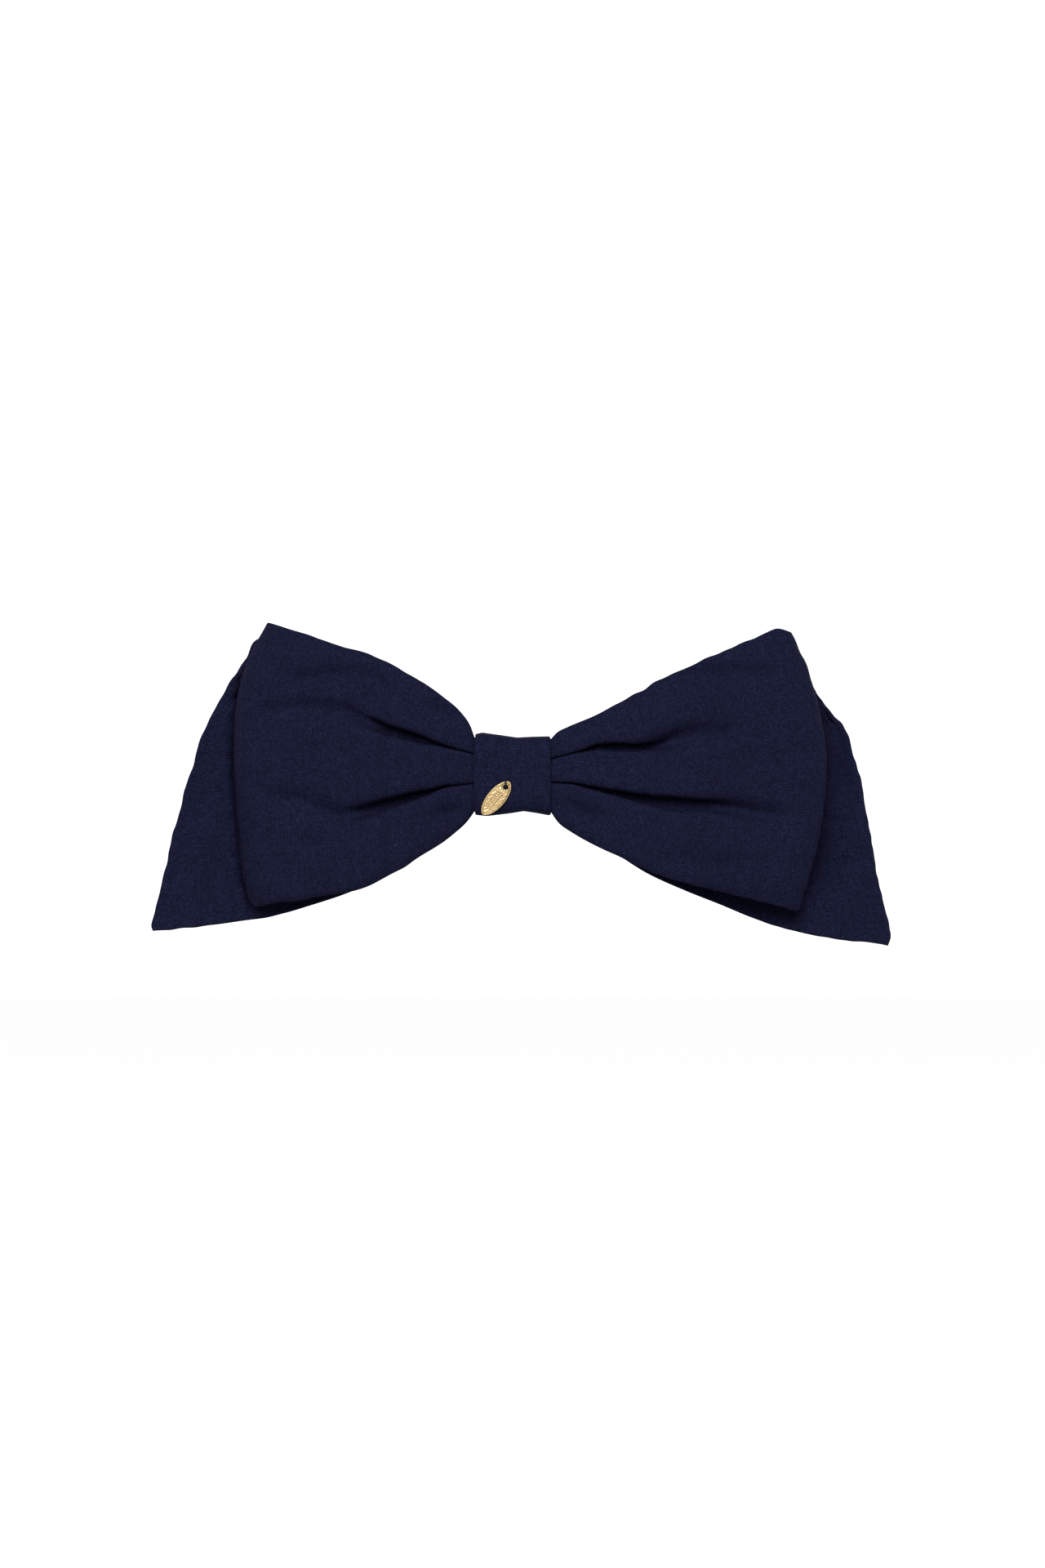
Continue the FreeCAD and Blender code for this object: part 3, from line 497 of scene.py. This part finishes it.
def tail_plane(x):
    """y of the tails' back, which follows the barrette's curve and then levels off."""
    reach = np.abs(x)
    middle, bend, radius, settle = -7.9, 34.0, 180.0, 12.0
    near = reach**2 / (2 * radius)
    levelling = settle * (1 - np.exp(-np.maximum(reach - bend, 0) / settle))
    past = bend**2 / (2 * radius) + bend / radius * levelling
    return middle + np.where(reach < bend, near, past)


LEFT_TAIL_CREASES = [
    ([(-61.6, 36), (-65.6, 27), (-67.8, 17.2), (-68.5, 7.4), (-68.1, -5.0), (-67.1, -16.4),
      (-65.9, -26.4), (-64.6, -31), (-63.4, -35)], 2.8, 1.1),
    ([(-73, 8), (-77, -8), (-80, -26)], 0.4, 4.0),
]
RIGHT_TAIL_CREASES = [
    ([(72.0, 25), (76.6, 15.4), (78.8, 6), (78.4, -3), (77.0, -13)], 5.4, 4.8),
    ([(78.0, -9), (76.0, -21), (74.0, -31)], 4.2, 4.4),
    ([(75, -29), (81, -23), (89, -17.5)], 1.0, 2.6),
    ([(83.6, 4), (85.4, -4), (86.6, -12)], -0.5, 2.4),
]


def tail(shape, side, folds, seed, sway):
    """One tail: rows from the band outwards, close together at its hem."""
    s = np.linspace(0, 1, TAIL_ROWS)
    s[-len(HEM_ROWS):] = 1 - np.array(HEM_ROWS) / TAIL_LENGTH
    roll = track(TAIL_ROLL, s)
    slits = [dict(TAIL_KNOTS, line=[(side * x, z) for x, z in line]) for line in TAIL_FOLDS]
    share, deep = gathered(shape, s, slits, (roll, roll))
    rows = np.repeat(s[:, None], share.shape[1], axis=1)
    xz = fan(shape, rows, share)
    x, z = xz[..., 0], xz[..., 1]
    y = tail_plane(x) - deep
    free = step(rows, 0.5, 0.95)
    y = y + TAIL_RIPPLE * step(rows, 0.1, 0.5) * waves(x, z, seed, 50, 20) + free * sway(x, z)
    y = y + creases(x, z, folds)
    x, z = uneven(x, z, free, seed)
    return np.stack([x, y, z], axis=2)


def left_sway(x, z):
    """How the left tail's loose end waves back and forth."""
    return 0.5 * np.sin((z + 0.4 * x) / 9.0 + 1.0) - 0.5 * step(-x, 76, 88)


def right_sway(x, z):
    """How the right tail's loose end waves back and forth."""
    return 0.5 * np.sin((z * 0.8 - 0.75 * x) / 5.2 + 1.5) * step(x, 66, 84)


def tails():
    left = tail(LEFT_TAIL, -1, LEFT_TAIL_CREASES, SEED + 20, left_sway)
    right = tail(RIGHT_TAIL, 1, RIGHT_TAIL_CREASES, SEED + 30, right_sway)
    rows = np.concatenate([left[::-1], joined(left[0], right[0]), right])
    return strip("tails", rows, ring=False, turned=True)


# ---- centre band ------------------------------------------------------------------------------
BAND_TOP = [(-9.2, 9.9), (-7.4, 10.3), (-3.0, 9.7), (1.0, 9.1), (5.0, 9.3), (9.2, 9.4)]
BAND_BOTTOM = [(-9.2, 9.7), (-6.2, 10.0), (-1.0, 9.4), (2.7, 8.8), (6.0, 9.3), (9.2, 9.9)]
BAND_CREASES = [([(-9, -5.6), (0, -6.2), (9, -5.4)], 0.25, 1.4)]


def centre_band():
    """The band: a ring round the middle, a little waisted, closed by a lapped seam at the back."""
    x = np.linspace(-1, 1, BAND_COLUMNS)
    x = np.sign(x) * (1 - (1 - np.abs(x)) ** 1.25) * BAND_HALF
    turn = np.linspace(0, 2 * math.pi, BAND_ROWS, endpoint=False)[:, None]
    depth_half, middle = (BAND_BACK - BAND_FRONT) / 2, (BAND_BACK + BAND_FRONT) / 2
    c, s = np.cos(turn), np.sin(turn)
    radius = (np.abs(c) ** 5 + np.abs(s) ** 5) ** -0.2
    half = np.where(s > 0, track(BAND_TOP, x), track(BAND_BOTTOM, x))
    z = half * radius * s
    x = np.broadcast_to(x, z.shape)
    sag = BAND_SAG * waves(x, z, SEED + 40, 22, 10) + creases(x, z, BAND_CREASES)
    edge = BAND_CURL * np.exp(-(BAND_HALF - np.abs(x)) / 0.7)
    y = middle - depth_half * radius * c - c**2 * np.sign(c) * (sag + edge)
    lapped = (c < 0) * BAND_SEAM * step(z, -0.12, 0.12) * (1 - step(z, 3.0, 7.5))
    return strip("band", np.stack([x, y + lapped, z], axis=2), ring=True, turned=True)


# ---- materials --------------------------------------------------------------------------------
class Nodes:
    """A material's node tree, with short calls for the nodes used here."""

    def __init__(self, name):
        self.material = bpy.data.materials.new(name)
        self.material.use_nodes = True
        self.tree = self.material.node_tree
        self.shader = self.tree.nodes["Principled BSDF"]

    def node(self, kind, inputs=(), **settings):
        made = self.tree.nodes.new(kind)
        for key, value in settings.items():
            setattr(made, key, value)
        for key, value in dict(inputs).items():
            self.put(made.inputs[key], value)
        return made

    def put(self, socket, value):
        if isinstance(value, bpy.types.NodeSocket):
            self.tree.links.new(value, socket)
        else:
            socket.default_value = value

    def math(self, operation, a, b=0.0, c=0.0):
        return self.node("ShaderNodeMath", {0: a, 1: b, 2: c}, operation=operation).outputs[0]

    def either(self, share, a, b):
        """a where the share is 0, and b where it is 1."""
        return self.math("ADD", a, self.math("MULTIPLY", share, self.math("SUBTRACT", b, a)))

    def varied(self, tone, noise, amount):
        """The tone with a noise of 0 to 1 spread about it."""
        return self.math("ADD", tone, self.math("MULTIPLY", self.math("SUBTRACT", noise, 0.5), amount))

    def mix(self, factor, a, b):
        """One colour to the other. The node's colour sockets have no names of their own."""
        made = self.node("ShaderNodeMix", {"Factor": factor}, data_type="RGBA")
        self.put(made.inputs[6], a)
        self.put(made.inputs[7], b)
        return made.outputs[2]

    def noise(self, vector, scale, detail=2.0):
        made = self.node("ShaderNodeTexNoise", {"Scale": scale, "Detail": detail})
        self.put(made.inputs["Vector"], vector)
        return made.outputs["Fac"]

    def white_noise(self, dimensions, socket, value):
        made = self.node("ShaderNodeTexWhiteNoise", {socket: value}, noise_dimensions=dimensions)
        return made.outputs["Value"]

    def bump(self, height, distance, strength):
        inputs = {"Height": height, "Distance": distance, "Strength": strength}
        made = self.node("ShaderNodeBump", inputs)
        self.put(self.shader.inputs["Normal"], made.outputs["Normal"])


WANDER = (0.5, -0.4)              # how far threads stray from their lines, as shares of the pitch
DARKEST_THREAD = 0.66             # from the dark colour (0) to the light one (1)
THREAD_TONES, SPECKS, MOTTLE = 0.16, 0.36, 0.08  # how much threads, crossings and patches differ
RARE, FLECK = 0.9965, 1.8         # the share of crossings without a fleck, and a fleck's light
WEAVE_RELIEF = 0.00012            # metres


def cloth(name, dark, light):
    """A matt plain weave with painted shade in its gaps: threads over and under, each a little lighter or
    darker, with flecks.
    """
    n = Nodes(name)
    coords = n.node("ShaderNodeTexCoord")
    uv, place = coords.outputs["UV"], coords.outputs["Object"]
    wobble = n.noise(place, 420, 1.0)
    pitches = (1 / (WEAVE_PITCH * MM),) * 3
    scaled = n.node("ShaderNodeVectorMath", {0: uv, 1: pitches}, operation="MULTIPLY").outputs[0]
    parts = n.node("ShaderNodeSeparateXYZ", {0: scaled})
    u = n.math("ADD", parts.outputs[0], n.math("MULTIPLY", wobble, WANDER[0]))
    v = n.math("ADD", parts.outputs[1], n.math("MULTIPLY", wobble, WANDER[1]))
    warp = n.math("SINE", n.math("MULTIPLY", n.math("FRACT", u), math.pi))
    weft = n.math("SINE", n.math("MULTIPLY", n.math("FRACT", v), math.pi))
    row, column = n.math("FLOOR", u), n.math("FLOOR", v)
    check = n.math("FLOORED_MODULO", n.math("ADD", row, column), 2.0)
    warp_top = n.math("MULTIPLY", warp, n.math("MULTIPLY_ADD", weft, 0.5, 0.5))
    weft_top = n.math("MULTIPLY", weft, n.math("MULTIPLY_ADD", warp, 0.5, 0.5))
    height = n.either(check, warp_top, weft_top)
    own_row = n.white_noise("1D", "W", row)
    own_column = n.white_noise("1D", "W", n.math("ADD", column, 0.5))
    own_thread = n.either(check, own_row, own_column)
    speck = n.white_noise("2D", "Vector", n.node("ShaderNodeCombineXYZ", {0: row, 1: column}).outputs[0])
    mottle = n.noise(place, 70, 3.0)
    thread_tone = n.math("ADD", n.math("MULTIPLY", own_thread, THREAD_TONES), DARKEST_THREAD)
    # Painted shade: the colour follows the weave's height, so it darkens towards each thread's sides and in
    # the gaps between threads.
    tone = n.math("MULTIPLY", height, thread_tone)
    tone = n.varied(tone, speck, SPECKS)
    tone = n.varied(tone, mottle, MOTTLE)
    fleck = n.math("MULTIPLY", n.math("GREATER_THAN", speck, RARE), height)
    tone = n.math("ADD", tone, n.math("MULTIPLY", fleck, FLECK))
    n.put(n.shader.inputs["Base Color"], n.mix(tone, dark, light))
    n.shader.inputs["Roughness"].default_value = 0.9
    n.shader.inputs["Specular IOR Level"].default_value = 0.03
    n.bump(n.math("ADD", height, n.math("MULTIPLY", speck, 0.3)), WEAVE_RELIEF, 0.7)
    return n.material


def metal(name, colour, tone, roughness, grain):
    """Plated metal: fine long grain in the polish, and slight clouding where it is handled."""
    n = Nodes(name)
    place = n.node("ShaderNodeTexCoord").outputs["Object"]
    drawn_out = {0: place, 1: (0.1, 1, 1)}
    long_grain = n.node("ShaderNodeVectorMath", drawn_out, operation="MULTIPLY").outputs[0]
    scratch = n.noise(long_grain, grain)
    cloud = n.noise(place, 130)
    n.put(n.shader.inputs["Base Color"], n.mix(cloud, colour, tone))
    n.shader.inputs["Metallic"].default_value = 1.0
    dull = n.math("MULTIPLY", n.math("ADD", cloud, n.math("MULTIPLY", scratch, 0.6)), roughness * 0.5)
    n.put(n.shader.inputs["Roughness"], n.math("ADD", dull, roughness * 0.6))
    n.bump(n.math("ADD", n.math("MULTIPLY", scratch, 0.5), cloud), 0.00002, 0.25)
    return n.material


def thread_material(name, dark, light):
    """Sewing thread: fine fibres, some darker and some lighter."""
    n = Nodes(name)
    place = n.node("ShaderNodeTexCoord").outputs["Object"]
    fibre = n.noise(place, 6000)
    n.put(n.shader.inputs["Base Color"], n.mix(fibre, dark, light))
    n.shader.inputs["Roughness"].default_value = 0.7
    n.shader.inputs["Specular IOR Level"].default_value = 0.2
    n.bump(fibre, 0.00002, 0.6)
    return n.material


# ---- thread -----------------------------------------------------------------------------------
PLY_SIDES = 6
# As shares of the thread's radius: how far a ply lies from its middle, and the ply's own radius,
# the step from ring to ring, and one full twist.
PLY_PLACE, PLY_RADIUS, PLY_STEP, PLY_LAY = 0.5, 0.55, 0.6, 7


def twisted(name, paths, radius):
    """Two-ply thread along each path: two strands wound round each other."""
    verts, faces = [], []
    sides, advance, lay = PLY_SIDES, PLY_STEP * radius, PLY_LAY * radius
    round_strand = np.linspace(0, 2 * math.pi, sides, endpoint=False)
    for path in paths:
        p = np.array(path, float)
        length = np.linalg.norm(np.diff(p, axis=0), axis=1).sum()
        count = max(8, int(length / advance))
        line = curve(p, np.linspace(0, 1, count))
        ahead = np.gradient(line, axis=0)
        ahead /= np.linalg.norm(ahead, axis=1, keepdims=True)
        one = np.cross(ahead, (0.93, 0.23, 0.31))
        one /= np.linalg.norm(one, axis=1, keepdims=True)
        two = np.cross(ahead, one)
        turn = np.arange(count)[:, None] * advance / lay * 2 * math.pi
        for ply in (0, math.pi):
            wound = np.cos(turn + ply) * one + np.sin(turn + ply) * two
            centre = line + radius * PLY_PLACE * wound
            base = len(verts)
            for k in range(count):
                for a in round_strand:
                    out = math.cos(a) * one[k] + math.sin(a) * two[k]
                    verts.append(centre[k] + radius * PLY_RADIUS * out)
            for k in range(count - 1):
                ring = base + k * sides
                for m in range(sides):
                    n = (m + 1) % sides
                    faces.append([ring + m, ring + n, ring + sides + n, ring + sides + m])
            faces.append([base + m for m in range(sides)][::-1])
            faces.append([base + (count - 1) * sides + m for m in range(sides)])
    return mesh_object(name, np.array(verts) * MM, faces)


def node_box(name):
    """A CAD node's lowest and highest corners, in millimetres."""
    return [np.array(c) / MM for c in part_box(name)]


def bar_tack(node):
    """Two short stitches that dip into the cloth at both ends."""
    low, high = node_box(node)
    start, end, y = low[0], high[0], (low[1] + high[1]) / 2
    turn, middle = 0.12, (start + end) / 2
    paths = []
    for z in (low[2] + THREAD, high[2] - THREAD):
        path = [(start, y + 0.3, z), (start + turn, y - 0.05, z), (middle, y - 0.1, z + 0.03)]
        path += [(end - turn, y - 0.05, z), (end, y + 0.3, z)]
        paths.append(path)
    return paths


def lap_stitches(node, count=7, slant=0.4):
    """Slanted stitches over the band's lapped end."""
    low, high = node_box(node)
    y, half = (low[1] + high[1]) / 2, high[2]
    steps = [(-1, -0.3, -1), (-0.85, -0.02, -0.8), (0, 0.14, 0), (0.8, 0.18, 0.75), (1, -0.1, 1)]
    places = np.linspace(low[0] + slant + THREAD, high[0] - slant - THREAD, count)
    return [[(x + slant * a, y + b, half * c) for a, b, c in steps] for x in places]


def plate_stitches(node, turns=3):
    """Loops of thread through a sewing hole and round the plate's edge, above and below."""
    low, high = node_box(node)
    a = np.linspace(0, 2 * math.pi, 25)
    boxy = (np.abs(np.cos(a)) ** 4 + np.abs(np.sin(a)) ** 4) ** -0.25
    y = (low[1] + high[1]) / 2 + ((high[1] - low[1]) / 2 - THREAD) * boxy * np.cos(a)
    z = (SEW_Z + high[2] - THREAD) / 2 + (high[2] - THREAD - SEW_Z) / 2 * boxy * np.sin(a)
    lean = 0.08 * np.sin(a)
    places = np.linspace(low[0] + THREAD, high[0] - THREAD, turns)
    return [np.stack([x + lean, y, side * z], axis=1) for side in (-1, 1) for x in places]


def charm_loop(node):
    """The doubled thread that leaves the band above the charm and comes back through its hole."""
    low, high = node_box(node)
    x, reach, drop = (low[0] + high[0]) / 2, high[1] - low[1] - THREAD, high[2] - low[2] - 2 * THREAD
    steps = [(0.2, 1.0), (-0.3, 1.02), (-0.78, 0.88), (-0.99, 0.6), (-1.0, 0.3), (-0.86, 0.05),
             (-0.5, -0.04), (-0.1, -0.03), (0.2, 0.0)]
    shape = [(high[1] + reach * a, low[2] + THREAD + drop * b) for a, b in steps]
    apart = 0.14
    return [[(x + shift, y, z) for y, z in shape] for shift in (-apart, apart)]


# ---- charm ------------------------------------------------------------------------------------
CHARM_HALF = (5.1, 2.2)
CHARM_HOLE = (3.5, 0.0)           # the hole's centre, along the charm and across it
HOLE_RADIUS = 0.6
CHARM_THICK = 0.66                # at its flat field, with the rim and the hole's lip proud of it
CHARM_TILT = math.radians(40.3)   # its long axis, off the vertical
CHARM_PLACE = (-3.96, -5.62)      # its middle, in x and z
CHARM_DOME = 0.05                 # the front's middle stands this proud of its edge
RIM_HEIGHT, RIM_SLOPE = 0.15, (0.24, 0.5)   # and how far from the edge it falls to the field
LIP_HEIGHT, LIP_SLOPE = 0.17, (0.22, 0.42)  # the same for the lip, from the hole
ROUNDING = 0.14                   # radius of the edges of the rim and the lip
DIMPLE_PITCH, DIMPLE_START = 0.62, -3.3     # and the first dimple's place along the middle row
DIMPLE_DEPTH, DIMPLE_WIDTH = 0.15, 0.18
HAMMERED = 0.012                  # the field's slight unevenness
CHARM_AROUND, CHARM_RINGS = 260, 96
SHARP = math.radians(50)          # an edge that turns more than this stays sharp


def charm_outline():
    """A pointed oval, with its points evenly spaced."""
    a = np.linspace(0, 2 * math.pi, 4000, endpoint=False)
    along = CHARM_HALF[0] * np.cos(a)
    across = CHARM_HALF[1] * np.sign(np.sin(a)) * (1 - np.cos(a) ** 2) ** 0.56
    run = np.concatenate([[0], np.cumsum(np.hypot(np.diff(along), np.diff(across)))])
    even = np.linspace(0, run[-1], CHARM_AROUND, endpoint=False)
    return np.stack([np.interp(even, run, along), np.interp(even, run, across)], axis=1)


def charm_rings(outline):
    """Rings of points from the hole's edge to the outline, closer together at both."""
    hole = np.array(CHARM_HOLE)
    ray = outline - hole
    inner = hole + HOLE_RADIUS * ray / np.linalg.norm(ray, axis=1, keepdims=True)
    f = np.linspace(0, 1, CHARM_RINGS)
    f = f - 0.13 * np.sin(2 * math.pi * f)
    return inner + (outline - inner) * f[:, None, None]


def charm_height(rings, outline):
    """How far the front stands off the back: a dome, the rim, the lip and rows of dimples."""
    along, across = rings[..., 0], rings[..., 1]
    points = rings.reshape(-1, 1, 2)
    to_edge = np.linalg.norm(points - outline[::2], axis=2).min(axis=1).reshape(along.shape)
    to_edge[-1] = 0
    to_hole = np.linalg.norm(rings - CHARM_HOLE, axis=2) - HOLE_RADIUS
    height = CHARM_THICK + CHARM_DOME * np.cos(along / 3.4) * np.cos(across / 1.5)
    height = height + RIM_HEIGHT * (1 - step(to_edge, *RIM_SLOPE))
    height = height + LIP_HEIGHT * (1 - step(to_hole, *LIP_SLOPE))
    for near in (to_edge, to_hole):
        gone = np.clip(ROUNDING - near, 0, ROUNDING)
        height = height - (ROUNDING - np.sqrt(ROUNDING**2 - gone**2))
    for row, count in ((-DIMPLE_PITCH, 8), (0.0, 9), (DIMPLE_PITCH, 8)):
        start = DIMPLE_START + (9 - count) * DIMPLE_PITCH / 2
        for place in start + DIMPLE_PITCH * np.arange(count):
            away = (along - place) ** 2 + (across - row) ** 2
            height = height - DIMPLE_DEPTH * np.exp(-away / DIMPLE_WIDTH**2)
    return height + HAMMERED * waves(along, across, SEED + 60, 1.6, 0.5)


def charm():
    """The oval tag: a raised rim, a lip round its hole, and three rows of small dimples."""
    outline = charm_outline()
    rings = charm_rings(outline)
    height = charm_height(rings, outline)
    # The front from the hole to the outline, and then the back's two edges, close into a ring.
    rings = np.concatenate([rings, rings[[-1, 0]]])
    height = np.concatenate([height, np.zeros((2, CHARM_AROUND))])

    y_back = node_box("charm_tag")[1][1]
    along_charm = np.array([math.sin(CHARM_TILT), math.cos(CHARM_TILT)])
    across_charm = np.array([-along_charm[1], along_charm[0]])
    xz = CHARM_PLACE + rings[..., :1] * along_charm + rings[..., 1:] * across_charm
    verts = np.stack([xz[..., 0], y_back - height, xz[..., 1]], axis=2).reshape(-1, 3) * MM

    faces = []
    for r in range(len(rings)):
        here, ahead = r * CHARM_AROUND, (r + 1) % len(rings) * CHARM_AROUND
        for k in range(CHARM_AROUND):
            n = (k + 1) % CHARM_AROUND
            faces.append([here + k, here + n, ahead + n, ahead + k])
    tag = mesh_object("charm", verts, faces)
    mesh = bmesh.new()
    mesh.from_mesh(tag.data)
    bmesh.ops.recalc_face_normals(mesh, faces=mesh.faces)
    for edge in mesh.edges:
        edge.smooth = edge.calc_face_angle() <= SHARP
    mesh.to_mesh(tag.data)
    mesh.free()
    return tag


# ---- the object -------------------------------------------------------------------------------
navy = cloth("navy_plain_weave", (0.0026, 0.0030, 0.0098, 1), (0.0215, 0.0236, 0.067, 1))
steel = metal("nickel_plated_steel", (0.42, 0.42, 0.435, 1), (0.34, 0.34, 0.355, 1), 0.34, 2800)
gold = metal("gold_plate", (0.38, 0.285, 0.15, 1), (0.22, 0.15, 0.07, 1), 0.36, 3600)
thread = thread_material("navy_thread", (0.004, 0.004, 0.010, 1), (0.02, 0.022, 0.05, 1))

bow = front_bow()
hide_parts("front_bow_fabric", "front_bow_interlining")
flat_tails = tails()
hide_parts("tail_fabric", "tail_interlining")
band = centre_band()
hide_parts("centre_band", "band_interlining")
for piece in (bow, flat_tails, band):
    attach(piece, "bow")
    piece.data.materials.append(navy)

SEWING = [
    ("charm_anchor", "charm_anchor_stitches", "bow", bar_tack),
    ("band_closing", "band_closing_stitches", "bow", lap_stitches),
    ("hinge_end_sewing", "hinge_end_stitches", "bow", plate_stitches),
    ("catch_end_sewing", "catch_end_stitches", "bow", plate_stitches),
    ("charm_thread", "charm_thread_loop", "thread_loop", charm_loop),
]
for name, node, body, paths in SEWING:
    sewn = twisted(name, paths(node), THREAD * 0.8)
    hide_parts(node)
    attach(sewn, body)
    sewn.data.materials.append(thread)

tag = charm()
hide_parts("charm_tag")
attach(tag, "charm")
tag.data.materials.append(gold)

# The CAD nodes that nothing replaces: the barrette, and the gathering threads under the band.
for name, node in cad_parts.items():
    if not node.hide_render:
        node.data.materials.clear()
        node.data.materials.append(thread if "thread" in name else steel)


# ---- studio -----------------------------------------------------------------------------------
WORLD_LIGHT = 0.24
FLOOR_GLOW, BACKDROP_GLOW = 0.75, 1.0
FLOOR_Z = -0.25
CAMERA_PLACE, CAMERA_LENS = (0.0024, -1.6, -0.0022), 150
# Each softbox has its place and its size in metres, and its power in watts.
SOFTBOXES = [
    ("front_softbox", (-0.1, -1.6, 0.7), 1.0, 30.5),
    ("rear_softbox", (0.3, 1.6, 0.9), 1.2, 18),
    ("left_softbox", (-1.5, 0.9, 0.5), 0.9, 9),
    ("right_softbox", (1.5, 0.4, 0.5), 0.9, 8),
]


def glow(name, strength):
    """A near-white surface with a light of its own."""
    n = Nodes(name)
    n.shader.inputs["Base Color"].default_value = (0.95, 0.95, 0.95, 1)
    n.shader.inputs["Emission Color"].default_value = (1, 1, 1, 1)
    n.shader.inputs["Emission Strength"].default_value = strength
    return n.material


def surroundings():
    """A round pale floor inside a pale dome. The dome is seen, but lights and reflects nothing."""
    bpy.ops.mesh.primitive_circle_add(vertices=96, radius=6, fill_type="NGON", location=(0, 0, FLOOR_Z))
    floor = bpy.context.object
    floor.name = "floor"
    floor.data.materials.append(glow("pale_floor", FLOOR_GLOW))
    floor.visible_diffuse = False
    bpy.ops.mesh.primitive_uv_sphere_add(segments=64, ring_count=32, radius=7)
    dome = bpy.context.object
    dome.name = "backdrop"
    dome.data.materials.append(glow("pale_backdrop", BACKDROP_GLOW))
    dome.visible_diffuse = dome.visible_glossy = dome.visible_shadow = False


def softbox(name, place, size, power):
    """A round soft light that faces the bow."""
    data = bpy.data.lights.new(name, "AREA")
    data.shape, data.size, data.energy = "DISK", size, power
    lamp = bpy.data.objects.new(name, data)
    lamp.location = place
    aim = -lamp.location.normalized()
    lamp.rotation_euler = aim.to_track_quat("-Z", "Y").to_euler()
    bpy.context.scene.collection.objects.link(lamp)


def studio():
    """The world, the floor and the dome, the lights and the camera."""
    scene = bpy.context.scene
    scene.view_settings.view_transform = "Standard"
    scene.world = bpy.data.worlds.new("studio")
    scene.world.use_nodes = True
    sky = scene.world.node_tree.nodes["Background"]
    sky.inputs["Color"].default_value = (1, 1, 1, 1)
    sky.inputs["Strength"].default_value = WORLD_LIGHT
    surroundings()
    for name, place, size, power in SOFTBOXES:
        softbox(name, place, size, power)
    data = bpy.data.cameras.new("camera")
    data.lens, data.clip_end = CAMERA_LENS, 30
    scene.camera = bpy.data.objects.new("camera", data)
    scene.camera.location = CAMERA_PLACE
    scene.camera.rotation_euler = (math.radians(90), 0, 0)
    scene.collection.objects.link(scene.camera)


studio()
